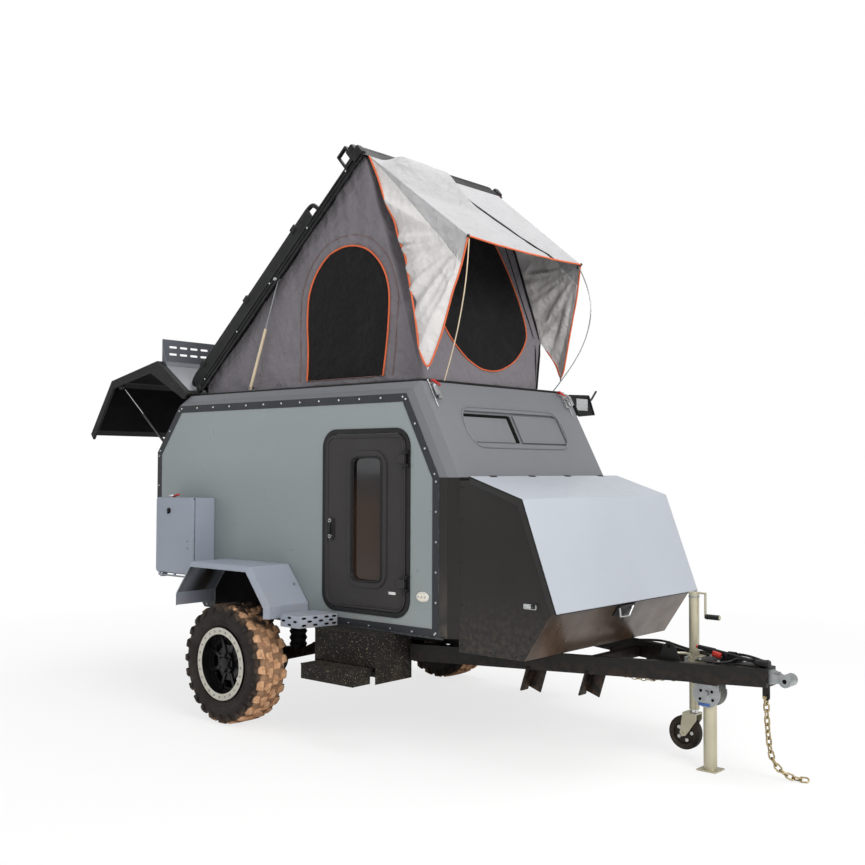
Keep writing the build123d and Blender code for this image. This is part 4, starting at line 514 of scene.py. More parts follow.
def makeTyre(side, label):
    bm = bmesh.new()
    base, half, shoulder, lug = tyre["base"], tyre["half"], tyre["shoulder"], tyre["lug"]
    outer = [(r, half - inset) for r, inset in tyre["wall"]]
    farSide = [(r, -y) for r, y in outer]
    outline = farSide[:1] + tyre["bead"] + outer + [(base, y) for y in tyre["crown"]] + farSide[:0:-1]
    lathe(bm, outline, tyre["steps"], closed=True)
    bmesh.ops.recalc_face_normals(bm, faces=bm.faces)
    for k in range(tyre["pitches"]):
        for end in (-1, 1):
            a = k + (0.5 if end > 0 else 0.0)
            wide = shoulder["wide"][k % 2]
            out, inner = end * (half - shoulder["outer"]), end * shoulder["inner"]
            treadBlock(bm, [
                (a - wide, inner, 0), (a - wide + 0.08, out * 0.86, 0.002), (a - wide + 0.10, out, 0.010),
                (a + wide - 0.16, out, 0.010), (a + wide, out * 0.84, 0.002), (a + wide - 0.05, inner * 1.16, 0)],
                shoulder["high"])
            low = lug["low"][k % 2]
            corners = [(a - 0.2, lug["top"]), (a + 0.18, lug["top"]), (a + 0.12, low), (a - 0.14, low)]
            face, top, raised = raisedFace(
                bm, [(q * cos(b * pitchTurn), end * (half - lug["inset"]), q * sin(b * pitchTurn)) for b, q in corners])
            bmesh.ops.translate(bm, verts=raised, vec=(0, end * lug["high"], 0))
            bmesh.ops.recalc_face_normals(bm, faces=list({f for v in raised for f in v.link_faces} | {face}))
        for start, corners in tyre["middle"]["rows"]:
            treadBlock(bm, [(k + start + a, y, 0) for a, y in corners], tyre["middle"]["high"])
    bmesh.ops.transform(bm, matrix=Matrix.Translation((axleX, side * tyre["wheelY"], axleZ)), verts=bm.verts)
    made = piece("tyreTread." + label, bm, "tyreRubber", "wheel_" + label, 34.0)
    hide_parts("tyre_" + label)


for side, label in sides:
    makeTyre(side, label)

# wheel dressing: clamp ring and its bolts, hub cap and nuts, raised ribs between the slots
rim = {
    "ring": [(0.197, 1.2302), (0.2005, 1.2335), (0.209, 1.2345), (0.2125, 1.232), (0.2255, 1.232), (0.229, 1.2345),
             (0.2375, 1.2335), (0.2412, 1.2302)],
    "ringBolts": 24, "ringAt": 0.219, "ringFace": 1.2315, "washer": (0.0015, 0.0078), "boltSize": (0.0052, 0.0055),
    "hub": [(0.0, 1.206), (0.030, 1.205), (0.040, 1.200), (0.044, 1.190), (0.044, 1.182)],
    "nuts": 6, "nutAt": 0.056, "nutFace": 1.182, "nutSize": (0.010, 0.016),
    "ribs": 8, "ribAt": 0.132, "ribFace": 1.160, "ribSize": (0.128, 0.014, 0.026), "ribBevel": 0.004}
for side, label in sides:
    bm = bmesh.new()
    lathe(bm, rim["ring"], 96)
    for k in range(rim["ringBolts"]):
        a = 2 * pi * k / rim["ringBolts"]
        spot = (rim["ringAt"] * cos(a), rim["ringFace"], rim["ringAt"] * sin(a))
        rod(bm, (spot, Vector(spot) + Vector((0, rim["washer"][0], 0))), rim["washer"][1], 12, 1)
        bolt(bm, spot, (0, 1, 0), *rim["boltSize"], 6, 1)
    lathe(bm, rim["hub"], 40, 2)
    for k in range(rim["nuts"]):
        a = 2 * pi * (k + 0.5) / rim["nuts"]
        bolt(bm, (rim["nutAt"] * cos(a), rim["nutFace"], rim["nutAt"] * sin(a)), (0, 1, 0), *rim["nutSize"], 6, 2)
    for k in range(rim["ribs"]):
        a = 2 * pi * (k + 0.5) / rim["ribs"]
        spot = Vector((cos(a), 0, sin(a))) * rim["ribAt"] + Vector((0, rim["ribFace"], 0))
        block(bm, spot, rim["ribSize"], rim["ribBevel"], 3, Matrix.Rotation(-a, 4, "Y"))
    bmesh.ops.remove_doubles(bm, verts=bm.verts, dist=1e-5)
    bmesh.ops.translate(bm, vec=(axleX, 0.0, axleZ), verts=bm.verts)
    if side < 0:
        bmesh.ops.scale(bm, vec=(1, -1, 1), verts=bm.verts)
    bmesh.ops.recalc_face_normals(bm, faces=bm.faces)
    piece("wheelDressing." + label, bm, "ringWhite galvanised plasticBlack rimBlack", "wheel_" + label)
print("wheels done")

# rivets along the side panels' trim
rivets = {
    "spacing": 0.190, "radius": 0.0075, "high": 0.0035, "inset": 0.022, "endGap": 0.03, "face": -0.8630,
    "middle": (0.2, 1.45), "profile": [(-0.985, 2.175), (-1.259, 1.828), (-1.259, 1.320), (-0.912, 0.959),
                                       (-0.657, 0.693), (1.608, 0.693), (1.608, 1.660), (1.3407, 2.175)]}
bm = bmesh.new()
corners = [Vector(corner) for corner in rivets["profile"]]
for a, b in zip(corners, corners[1:] + corners[:1]):
    run = (b - a).normalized()
    inward = Vector((-run.y, run.x))
    if inward.dot(Vector(rivets["middle"]) - a) < 0:
        inward = -inward
    length = (b - a).length - 2 * rivets["endGap"]
    count = max(1, round(length / rivets["spacing"]))
    for j in range(count + 1):
        p = a + run * (rivets["endGap"] + length * j / count) + inward * rivets["inset"]
        bolt(bm, at(p.x, rivets["face"], p.y), (0, -1, 0), rivets["radius"], rivets["high"], 10)
bothSides(bm)
piece("panelRivets", bm, "brightSteel", "trailer", 40.0)
print("rivets done")

# the raised bed's frame: s runs up the lid from its hinge, n stands out of the lid
bed = {"angle": radians(41.2), "hinge": (-0.900, 2.287), "flyTilt": radians(-10.3), "foldPlane": 0.012}


def lid(s, y, n):
    c, k = cos(bed["angle"]), sin(bed["angle"])
    return at(bed["hinge"][0] + s * c - n * k, y, bed["hinge"][1] + s * k + n * c)


lidTurn = Matrix.Rotation(-bed["angle"], 4, "Y")
lidOut = lid(0, 0, 1) - lid(0, 0, 0)
lidUp = lid(1, 0, 0) - lid(0, 0, 0)
tiltBack = (lidOut * cos(bed["flyTilt"]) + lidUp * sin(bed["flyTilt"])).normalized()
folds = {"lid": (lidOut, lid(1.2, 0, 0.010)), "fly": (tiltBack, lid(2.270, 0, 0.023))}


def squash(made, fold="lid"):
    axis, anchor = folds[fold]
    tuple(axis)
    tuple(anchor)
    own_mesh(made)


# a grid whose points go where the function says, with its UV map in metres
def sheetOf(bm, across, up, where, flat):
    made = bmesh.ops.create_grid(bm, x_segments=across, y_segments=up, size=0.5)["verts"]
    uv = bm.loops.layers.uv.verify()
    for face in {f for v in made for f in v.link_faces}:
        for loop in face.loops:
            loop[uv].uv = ((loop.vert.co.x + 0.5) * flat[0], (loop.vert.co.y + 0.5) * flat[1])
    for v in made:
        v.co = where(v.co.x + 0.5, v.co.y + 0.5)


def clamp(value, low=0.0, high=1.0):
    return max(low, min(high, value))


def seeded(seed):
    return Vector((seed, seed * 0.7, -seed))


def pucker(point, seed):
    return noise.fractal(Vector(point) + seeded(seed), 0.9, 2.0, 2)


# sharp crests like those of pulled cloth, about a level of 0
def crest(point, seed, scale=1.0):
    spot = Vector(point) * scale + seeded(seed)
    return (1.0 - 2.0 * abs(noise.noise(spot))) * 0.75 + 0.25 * (0.5 + noise.noise(spot * 2.3)) - 0.5


# thickness of one sheet of the tent, on a mesh of its own
def hang(made, thick, fold="lid"):
    skin = made.modifiers.new("thickness", "SOLIDIFY")
    skin.thickness = thick
    skin.offset = 0.0
    squash(made, fold)


# round piping or cord sewn along cloth: (points, radius) for each run
def trimPiece(name, lines, material, fold="lid"):
    bm = bmesh.new()
    for points, radius in lines:
        pipe(bm, points, radius)
    uv = bm.loops.layers.uv.verify()
    for face in bm.faces:
        for loop in face.loops:
            loop[uv].uv = (loop.vert.co.x + loop.vert.co.y, loop.vert.co.z)
    made = piece(name, bm, material, "bed_lid", 60.0)
    squash(made, fold)
    return made


wall = {
    "half": 0.6945, "low": 2.27, "high": 3.86, "lean": 0.344, "rear": (-0.860, 2.2706), "front": (1.330, 2.2706),
    "rearTop": (-0.8829, 2.3270), "frontTop": (0.8025, 3.8020), "inset": 0.006, "sag": (0.010, 1.2),
    "fold": 0.016, "pull": (0.016, 0.45), "crown": (0.013, 3.0, 0.3), "hem": (0.012, 0.30), "proud": 0.004,
    "edge": (2.268, 0.05, 0.06, 0.04), "thick": 0.0012, "flat": (2.24, 1.62), "grid": (130, 80), "uv": (2.19, 1.4)}


# a point of the side wall, with its puckers; out is how far it stands off the cloth
def wallPoint(x, z, side, out=0.0):
    up = z - wall["low"]
    frontGap = (wall["front"][0] - up * wall["lean"]) - x
    d = -wall["sag"][0] * sin(pi * clamp(up / wall["sag"][1])) - wall["inset"]
    d += wall["fold"] * crest((x * 1.6 + z * 0.7, side, z * 1.2 - x * 0.5), 4.0 + side, 1.9)
    diagonal = crest(((x + z * 0.55) * 5.2, side, (z - x) * 0.9), 9.0 + side)
    d += wall["pull"][0] * diagonal * max(0.0, 1.0 - abs(frontGap) / wall["pull"][1])
    crown, crownLow, crownHigh = wall["crown"]
    d += crown * crest((x * 9.0, side, z * 1.3), 2.0) * clamp((z - crownLow) / crownHigh)
    hem, hemHigh = wall["hem"]
    d += hem * crest((x * 6.0 + z * 5, side, z * 7.0), 6.0) * max(0.0, 1.0 - up / hemHigh)
    low, lowSoft, highSoft, frontSoft = wall["edge"]
    edge = min(1.0, (z - low) / lowSoft, max(0.0, (wall["high"] - z) / highSoft), max(0.0, frontGap / frontSoft + 0.1))
    return at(x, side * (wall["half"] + min(wall["proud"], d) * max(0.0, edge) + out), z)


# the value at height z of a line of (height, value)
def level(line, z):
    for (za, a), (zb, b) in zip(line, line[1:]):
        if z <= zb:
            return a + (b - a) * max(0.0, (z - za) / (zb - za))
    return line[-1][1]


# how far the far front edge of the tent stands ahead of the near one, by height
farEdge = [(2.27, -0.125), (2.632, 0.045), (3.336, 0.045), (3.80, 0.0)]


def wallSheet(side, label):
    def where(u, w):
        a = Vector(wall["rear"]).lerp(Vector(wall["front"]), u)
        b = Vector(wall["rearTop"]).lerp(Vector(wall["frontTop"]), u)
        p = a.lerp(b, w)
        spot = wallPoint(p.x, p.y, side)
        if side > 0:
            spot.x += u ** 3 * level(farEdge, p.y)
        return spot
    bm = bmesh.new()
    sheetOf(bm, *wall["grid"], where, wall["uv"])
    return piece("tentWall." + label, bm, "tentGrey", "bed_lid", 60.0)


sideWindow = {
    "rear": 0.25, "wide": 0.78, "low": 2.312, "spring": 2.82, "rise": 0.39, "lean": (0.045, 0.5), "waver": 0.006,
    "pucker": 0.004, "out": 0.005, "grid": (56, 60), "uv": (0.78, 0.9), "thick": 0.0010, "flat": (0.80, 0.92),
    "piping": (0.008, 0.0062), "stitch": (0.075, 0.0035, 0.002), "sill": 0.003}


def windowPoint(u, w, side, grow=0.0, out=sideWindow["out"]):
    wide = sideWindow["wide"] / 2 + grow
    x = sideWindow["rear"] - grow + 2 * wide * u
    mid = sideWindow["rear"] + sideWindow["wide"] / 2
    top = sideWindow["spring"] + (sideWindow["rise"] + grow) * sqrt(max(0.0, 1.0 - ((x - mid) / wide) ** 2))
    z = sideWindow["low"] + w * (top - sideWindow["low"])
    x -= sideWindow["lean"][0] * u * max(0.0, (sideWindow["spring"] - z) / sideWindow["lean"][1])
    x += sideWindow["waver"] * noise.noise(Vector((z * 4.0, side, 1.0)))
    p = wallPoint(x, z, side, out)
    loose = min(1.0, 8 * u * (1 - u)) * min(1.0, 6 * w * (1 - w))
    p.y += side * sideWindow["pucker"] * pucker((x * 2.2, 0, z * 7.0), 3.0) * loose
    return p


def windowEdge(side, grow, out, steps=15):
    line = [windowPoint(0.0, w / 4, side, grow, out) for w in range(0, 4)]
    line += [windowPoint(0.5 - 0.5 * cos(pi * k / steps), 1.0, side, grow, out) for k in range(0, steps + 1)]
    line += [windowPoint(1.0, 1 - w / 4, side, grow, out) for w in range(1, 5)]
    return line


for side, label in sides:
    bm = bmesh.new()
    sheetOf(bm, *sideWindow["grid"], lambda u, w: windowPoint(u, w, side), sideWindow["uv"])
    mesh = piece("tentWindow." + label, bm, "meshBlack", "bed_lid", 60.0)
    out, radius = sideWindow["piping"]
    piping = trimPiece(
        "tentWindowPiping." + label, [(windowEdge(side, 0.0, out), radius)], "pipingOrange")
    grow, out, radius = sideWindow["stitch"]
    sill = [windowPoint(k / 8, 0.0, side) for k in range(9)]
    stitch = trimPiece("tentStitching." + label, [(windowEdge(side, grow, out), radius), (sill, sideWindow["sill"])],
                       "threadBrown")
    made = wallSheet(side, label)
    hang(made, wall["thick"])
    hang(mesh, sideWindow["thick"])

frontWall = {
    "low": (1.330, 2.2706), "high": (0.8060, 3.7900), "half": 0.6925, "out": (0.9456, 0.0, 0.3253),
    "sag": (0.012, 0.72), "fold": 0.016, "hem": 0.012, "edge": 0.03, "pull": (0.30, 0.39),
    "grid": (90, 90), "uv": (1.385, 1.6), "flat": (1.40, 1.64),
    "window": {"low": 2.372, "high": 1.248, "rows": 1.7, "out": 0.003, "pucker": 0.004, "grid": (44, 80),
               "uv": (0.98, 1.3), "flat": (1.02, 1.34), "pipingOut": 0.007, "piping": 0.0048},
    # the window's edges: height, place across
    "left": [(2.372, -0.005), (2.376, -0.045), (2.388, -0.09), (2.415, -0.145), (2.449, -0.195), (2.548, -0.274),
             (2.673, -0.34), (2.85, -0.40), (3.05, -0.43), (3.3, -0.42), (3.5, -0.38), (3.62, -0.30)],
    "right": [(2.372, 0.045), (2.374, 0.09), (2.39, 0.16), (2.412, 0.225), (2.445, 0.31), (2.495, 0.404),
              (2.59, 0.52), (2.695, 0.578), (2.928, 0.585), (3.159, 0.553), (3.36, 0.505), (3.52, 0.44), (3.62, 0.36)],
    # the seams beside its far edge: place across, step inwards, count of points, radius
    "seams": [(0.683, 0.0, 10, 0.009), (0.645, 0.006, 9, 0.004)], "seamLow": 2.29, "seamStep": 0.15, "seamOut": 0.004}


def frontPoint(y, z, out=0.0):
    (xa, za), (xb, zb) = frontWall["low"], frontWall["high"]
    share = (z - za) / (zb - za)
    x = xa + (xb - xa) * share
    d = -frontWall["sag"][0] * sin(pi * min(1.0, share)) * (1 - (y / frontWall["sag"][1]) ** 2)
    hem = frontWall["hem"] * crest((0, (y + z) * 5.0, (z - y) * 1.6), 17.0) * max(0.0, 1 - share * 2.0)
    d += frontWall["fold"] * crest((0, y * 2.4, z * 1.5), 12.0) + hem
    soft = frontWall["edge"]
    edge = clamp(min((frontWall["half"] - abs(y)) / soft, share / soft, (1 - share) / soft))
    pull = max(0.0, (y - frontWall["pull"][0]) / frontWall["pull"][1]) ** 2 * level(farEdge, z)
    return at(x + pull, y, z) + Vector(frontWall["out"]) * (d * edge + out)


def frontSheetPoint(u, w):
    low, high = frontWall["low"][1], frontWall["high"][1]
    return frontPoint((u - 0.5) * 2 * frontWall["half"], low + w * (high - low))


def frontMeshPoint(u, w):
    values = frontWall["window"]
    z = values["low"] + values["high"] * w ** values["rows"]
    a, b = level(frontWall["left"], z), level(frontWall["right"], z)
    y = a + (b - a) * u
    loose = pucker((0, y * 2.0, z * 6.0), 21.0) * min(1.0, 8 * u * (1 - u))
    return frontPoint(y, z, values["out"] + values["pucker"] * loose)


bm = bmesh.new()
sheetOf(bm, *frontWall["grid"], frontSheetPoint, frontWall["uv"])
frontCloth = piece("tentWall.front", bm, "tentGrey", "bed_lid", 60.0)
bm = bmesh.new()
sheetOf(bm, *frontWall["window"]["grid"], frontMeshPoint, frontWall["window"]["uv"])
frontMesh = piece("tentWindow.front", bm, "meshBlack", "bed_lid", 60.0)
outline = frontWall["left"][::-1] + frontWall["right"]
ring = [frontPoint(y, z, frontWall["window"]["pipingOut"]) for z, y in outline]
frontPiping = trimPiece("tentFrontPiping", [(ring, frontWall["window"]["piping"])], "pipingOrange")
seams = []
for y, step, count, radius in frontWall["seams"]:
    heights = [frontWall["seamLow"] + k * frontWall["seamStep"] for k in range(count)]
    seams.append(([frontPoint(y - step * k, z, frontWall["seamOut"]) for k, z in enumerate(heights)], radius))
frontSeams = trimPiece("tentFrontSeams", seams, "webbingBlack")
hang(frontCloth, wall["thick"])
hang(frontMesh, sideWindow["thick"])
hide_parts("bed_walls")
print("tent walls done")

# fly: a roof sheet that turns down at its sides, and a flap below it on each side
fly = {
    "rear": {
        -1: [(0.8506, 3.779), (0.93, 3.61), (1.019, 3.437), (1.10, 3.27), (1.171, 3.116), (1.205, 3.013),
             (1.228, 2.901), (1.283, 2.765), (1.300, 2.638), (1.336, 2.477), (1.397, 2.322)],
        1: [(0.8506, 3.779), (0.885, 3.61), (0.93, 3.437), (0.975, 3.30), (1.05, 3.08), (1.13, 2.84), (1.19, 2.70),
            (1.255, 2.60), (1.34, 2.48), (1.397, 2.355)]},
    "front": [(1.640, 3.150), (1.618, 3.06), (1.585, 2.93), (1.535, 2.79), (1.495, 2.65), (1.462, 2.50),
              (1.428, 2.39), (1.397, 2.322)],
    "top": 0.700, "tip": 0.625, "low": 0.728, "turnDown": 0.20, "fold": (0.058, 0.45), "belly": 0.016,
    "waver": 0.012, "start": (2.3, -0.0305), "dip": 0.020, "drop": 0.012, "ripple": 0.006,
    "hood": (0.135, 0.46, 1.3), "crease": (0.016, 0.95), "piping": 0.0058, "pipingOut": 0.002,
    "roofGrid": (70, 110), "roofUv": (1.02, 1.4), "sideGrid": (70, 18), "sideUv": (1.0, 0.2),
    "flapGrid": (60, 90), "flapUv": (0.9, 1.5), "overlap": 0.025, "tuck": 0.0015, "weld": 0.0004,
    "roofFlat": (1.75, 1.06), "flapFlat": (0.56, 1.58),
    "strap": {"start": 0.02, "drift": 0.30, "waver": 0.008, "wide": 0.034, "out": 0.006, "thick": 0.003,
              "grid": (60, 3), "uv": (1.05, 0.034)}}


def along(line, t):
    runs = [hypot(b[0] - a[0], b[1] - a[1]) for a, b in zip(line, line[1:])]
    left = t * sum(runs)
    for (a, b), run in zip(zip(line, line[1:]), runs):
        if left <= run or b == line[-1]:
            k = min(1.0, left / run)
            return a[0] + (b[0] - a[0]) * k, a[1] + (b[1] - a[1]) * k
        left -= run


# a point of the side's cloth: u from its rear edge to its front one, t down from the roof
def flapPoint(u, t, side, out=0.0):
    t = max(0.0, t)
    rx, rz = along(fly["rear"][side], t)
    fx, fz = along(fly["front"], t)
    x, z = rx + (fx - rx) * u, rz + (fz - rz) * u
    ry = fly["top"] + (fly["low"] - fly["top"]) * t
    fy = fly["tip"] + (fly["low"] - fly["tip"]) * t
    tipX, tipZ = x - fly["front"][0][0], z - fly["front"][0][1]
    reach = hypot(tipX, tipZ)
    ease = min(1.0, t * 4.0)
    fold, foldReach = fly["fold"]
    creases = crest((atan2(tipZ, tipX) * 3.6, reach * 0.8, side * 3.0), 31.0) * fold * min(1.0, reach / foldReach)
    belly = fly["belly"] * sin(pi * min(1.0, t)) * sin(pi * u)
    waver = fly["waver"] * crest((x * 3.2, side, z * 3.2), 37.0)
    return at(x, side * (ry + (fy - ry) * u + ease * (creases + belly) + waver * ease + out), z)


# across the roof sheet: u from the lid to the front edge
def roofPoint(u, y):
    s, n = fly["start"]
    tipX, tipZ = fly["front"][0]
    p = lid(s, y, n).lerp(at(tipX, y * fly["tip"] / fly["top"], tipZ), u)
    share = 1.0 - (y / fly["top"]) ** 2
    p.z -= fly["dip"] * sin(pi * u) * share + fly["drop"] * share * u
    p.z += fly["ripple"] * pucker((u * 2.0, y * 6.0, 0), 41.0) * share * min(1.0, 6 * u)
    near = clamp((0.10 - y) / 0.20) * min(1.0, (y + fly["top"]) / 0.16)
    hood, hoodEnd, hoodRound = fly["hood"]
    p.z += hood * sin(pi * min(1.0, u / hoodEnd)) ** hoodRound * max(0.0, near)
    aside = abs(y) - fly["top"]
    reach = hypot(1.0 - u, aside)
    crease, creaseReach = fly["crease"]
    fading = max(0.0, 1 - reach / creaseReach)
    p.z += crease * crest((atan2(aside, 1.02 - u) * 3.0, reach, y * 0.01), 43.0) * share * fading
    return p


def strapPoint(u, w):
    strap = fly["strap"]
    y = strap["start"] + strap["drift"] * u + strap["waver"] * sin(u * 15) + strap["wide"] * (w - 0.5)
    return roofPoint(u, y) + Vector((0, 0, strap["out"]))


def hemPoint(u, w):
    upper = fly["turnDown"] * u
    t = (upper - fly["overlap"]) + (1.0 + fly["overlap"] - upper) * w
    return flapPoint(u, t, side, -fly["tuck"] * max(0.0, 1 - w * 20))


bm = bmesh.new()
sheetOf(bm, *fly["roofGrid"], lambda u, w: roofPoint(u, (w - 0.5) * 2 * fly["top"]), fly["roofUv"])
for side, label in sides:
    sheetOf(bm, *fly["sideGrid"], lambda u, w: flapPoint(u, fly["turnDown"] * u * w, side), fly["sideUv"])
bmesh.ops.remove_doubles(bm, verts=bm.verts, dist=fly["weld"])
bmesh.ops.recalc_face_normals(bm, faces=bm.faces)
# the roof sheet takes the darker copy of the fly cloth, as painted shade
flyRoof = piece("flyRoof", bm, "flyShadedCopy", "bed_lid", 70.0)
out, turnDown = fly["pipingOut"], fly["turnDown"]
frontLine = [roofPoint(1.0, (k / 10 - 0.5) * 2 * fly["top"]) + Vector((out, 0, 0)) for k in range(11)]
upper = [[flapPoint(1.0, turnDown * w / 3, side, out) for w in range(4)] for side, label in sides]
edgePiping = trimPiece(
    "flyFrontPiping", [(upper[0][::-1] + frontLine + upper[1], fly["piping"])], "pipingOrange", "fly")
bm = bmesh.new()
sheetOf(bm, *fly["strap"]["grid"], strapPoint, fly["strap"]["uv"])
flyStrap = piece("flyStrap", bm, "webbingBlack", "bed_lid", 60.0)
squash(flyStrap, "fly")
band = flyStrap.modifiers.new("thickness", "SOLIDIFY")
band.thickness = fly["strap"]["thick"]
hang(flyRoof, wall["thick"], "fly")
for side, label in sides:
    bm = bmesh.new()
    sheetOf(bm, *fly["flapGrid"], hemPoint, fly["flapUv"])
    bmesh.ops.remove_doubles(bm, verts=bm.verts, dist=fly["weld"])
    if side > 0:
        bmesh.ops.reverse_faces(bm, faces=bm.faces)
    flap = piece("flyFlap." + label, bm, "flyWarm", "bed_lid", 70.0)
    rearEdge = [flapPoint(0.0, k / 12, side, out) for k in range(13)]
    foreEdge = [flapPoint(1.0, turnDown + (1 - turnDown) * k / 8, side, out) for k in range(8)]
    flapPiping = trimPiece(
        "flyFlapPiping." + label, [(rearEdge + foreEdge[::-1], fly["piping"])], "pipingOrange")
    hang(flap, wall["thick"])
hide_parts("bed_fly")

# bowed rods that hold the fly out
flyRod = {
    "foot": (1.425, 0.600, 2.264), "tip": (1.632, 0.611, 3.136), "radius": 0.0042,
    "bow": ((0.22, 0.7), (0.5, 1.0), (0.78, 0.75)),
    "swell": {-1: 0.050, 1: 0.200}, "aside": 0.010, "look": {-1: "strutBrass", 1: "brightSteel"},
    "cap": ((-0.012, 0.002, -0.012), (0.014, 0.022, 0.020)), "capRadius": 0.009}
for side, label in sides:
    foot, tip = [at(x, side * y, z) for x, y, z in (flyRod["foot"], flyRod["tip"])]
    swell = Vector((flyRod["swell"][side], side * flyRod["aside"], 0))
    bow = [foot] + [foot.lerp(tip, share) + swell * k for share, k in flyRod["bow"]] + [tip]
    made = trimPiece("flyRod." + label, [(bow, flyRod["radius"])], flyRod["look"][side])
    if side < 0:
        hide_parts("fly_rods")
    bm = bmesh.new()
    rod(bm, [tip + Vector((x, side * y, z)) for x, y, z in flyRod["cap"]], flyRod["capRadius"], 10)
    squash(piece("flyTip." + label, bm, "plasticBlack", "bed_lid", 40.0), "fly")
print("fly done")

# bed lid dressing: on each side edge strips, corner blocks, brackets with an opening and the rack's rails
lidSide = {
    "lowEdge": (block, (1.165, 0.7525, -0.024), (2.27, 0.007, 0.010), 0.002),
    "highEdge": (block, (1.165, 0.7525, 0.034), (2.27, 0.007, 0.012), 0.002),
    "midLine": (block, (1.165, 0.7525, 0.004), (2.27, 0.007, 0.006), 0.002),
    "bolts": (bolt, [(s, 0.751, 0.018) for s in (0.12, 0.62, 1.10, 1.62, 2.12)], (0, 1, 0), 0.0075, 0.006, 6, 1),
    "corner": (block, (2.262, 0.742, 0.026), (0.100, 0.050, 0.076), 0.012),
    "cap": (block, (2.235, 0.728, 0.085), (0.085, 0.060, 0.085), 0.020),
    "bracketPosts": (block, [(2.135, 0.752, 0.075), (2.225, 0.752, 0.075)], (0.016, 0.026, 0.140), 0.005),
    "bracketTop": (block, (2.18, 0.752, 0.140), (0.104, 0.028, 0.018), 0.006),
    "bracketFoot": (block, (2.18, 0.752, 0.030), (0.104, 0.028, 0.030), 0.006),
    "rearElbow": (pipe, [(0.042, 0.7, 0.162), (-0.023, 0.7, 0.162), (-0.063, 0.7, 0.130), (-0.068, 0.7, 0.040)],
        0.0158),
    "frontElbow": (pipe, [(1.642, 0.7, 0.162), (1.707, 0.7, 0.162), (1.747, 0.7, 0.130), (1.752, 0.7, 0.040)], 0.0158),
    "elbowFeet": (block, [(-0.068, 0.7, 0.044), (1.752, 0.7, 0.044)], (0.060, 0.050, 0.010), 0.003),
    "sidePlate": (block, (0.835, 0.716, 0.095), (1.700, 0.018, 0.116), 0.004),
    "sideLedge": (block, (0.835, 0.728, 0.062), (1.700, 0.012, 0.016), 0.003),
    "clamps": (block, [(s, 0.712, 0.150) for s in (0.15, 0.82, 1.50)], (0.060, 0.040, 0.046), 0.006),
    "clampBolts": (bolt, [(s + d, 0.722, 0.160) for s in (0.15, 0.82, 1.50) for d in (-0.014, 0.014)], (0, 1, 0),
                   0.007, 0.006, 6, 1),
    "hingeEnd": (block, (0.022, 0.742, 0.016), (0.060, 0.030, 0.056), 0.010)}
lidAcross = {
    "crossBar": (block, (2.255, 0, 0.088), (0.060, 1.42, 0.040), 0.012),
    "barFeet": (block, [(2.255, -0.45, 0.056), (2.255, 0.45, 0.056)], (0.050, 0.060, 0.040), 0.005),
    "handle": (pipe, [(2.255, -0.082, 0.100), (2.255, -0.082, 0.155), (2.255, 0.058, 0.155), (2.255, 0.058, 0.100)],
               0.0085, 0, False, False),
    "ribs": (block, [(1.10, y, 0.043) for y in (-0.50, -0.17, 0.17, 0.50)], (2.02, 0.070, 0.008), 0.003)}
bm = bmesh.new()
for side, label in sides:
    build(bm, lidSide, lid, lidTurn, side)
build(bm, lidAcross, lid, lidTurn)
piece("lidDressing", bm, "bedBlack brightSteel", "bed_lid")

# strut ends: ball joints and clips
strutEnds = {
    "pin": (rod, [(1.161, 0.712, -0.003), (1.161, 0.735, -0.003)], 0.010, 16),
    "ball": (rod, [(1.161, 0.750, -0.003), (1.161, 0.764, -0.003)], 0.016, 16, 0, 0.011)}
strutFoot = {"plate": (block, (-0.320, 0.7085, 2.276), (0.070, 0.022, 0.006), 0.002)}
bm = bmesh.new()
for side, label in sides:
    build(bm, strutEnds, lid, None, side)
    build(bm, strutFoot, at, None, side)
piece("strutClips", bm, "galvanised", "bed_lid")
print("bed lid done")

# nose: front handle, rubber seal, rivets and side catches
noseOut, noseUp, pocket = Vector((0.833, 0, -0.553)), Vector((0.553, 0, 0.833)), at(2.352, 0.012, 0.852)
noseTurn = Matrix.Rotation(atan2(0.553, 0.833), 4, "Y")


# out of the nose box's lower face, across it and up it
def nosePoint(out, y, up):
    return pocket + noseOut * out + Vector((0, y, 0)) + noseUp * up


noseHandle = {
    "plate": (block, (0.004, 0, 0), (0.010, 0.200, 0.080), 0.004),
    "grip": (pipe, [(0.008, -0.080, 0.025), (0.030, -0.050, -0.030), (0.030, 0.050, -0.030), (0.008, 0.080, 0.025)],
             0.007, 1, False, False)}
noseLidSeal = {
    "right": (pipe, [(1.813, -0.8225, 1.6575), (2.1935, -0.8225, 1.5320), (2.424, -0.8225, 0.908)], 0.0035, 0, False,
        False),
    "left": (pipe, [(1.813, 0.8225, 1.6575), (2.1935, 0.8225, 1.5320), (2.424, 0.8225, 0.908)], 0.0035, 0, False,
        False),
    "low": (pipe, [(2.4255, -0.815, 0.9035), (2.4255, 0.815, 0.9035)], 0.0045, 0, False, False)}
noseRivets = {
    "rear": (bolt, [(1.735, -0.8, z) for z in (0.66, 0.90, 1.15, 1.40, 1.60)], (0, -1, 0), 0.0065, 0.0035, 10),
    "low": (bolt, [(1.95, -0.8, 0.638), (2.14, -0.8, 0.638), (2.235, -0.8, 0.75), (2.325, -0.8, 0.87)], (0, -1, 0),
            0.0065, 0.0035, 10)}
noseCatches = {
    "bar": (block, (2.245, 0.818, 0.932), (0.062, 0.010, 0.018), 0.004),
    "grip": (block, (2.268, 0.822, 0.936), (0.020, 0.012, 0.030), 0.004, 1)}
bm = bmesh.new()
build(bm, noseHandle, nosePoint, noseTurn)
piece("noseHandle", bm, "plasticBlack brightSteel", "trailer")
bm = bmesh.new()
build(bm, noseLidSeal)
piece("noseLidSeal", bm, "rubberBlack", "nose_lid")
bm = bmesh.new()
build(bm, noseRivets)
bothSides(bm)
piece("noseRivets", bm, "rimBlack", "trailer", 40.0)
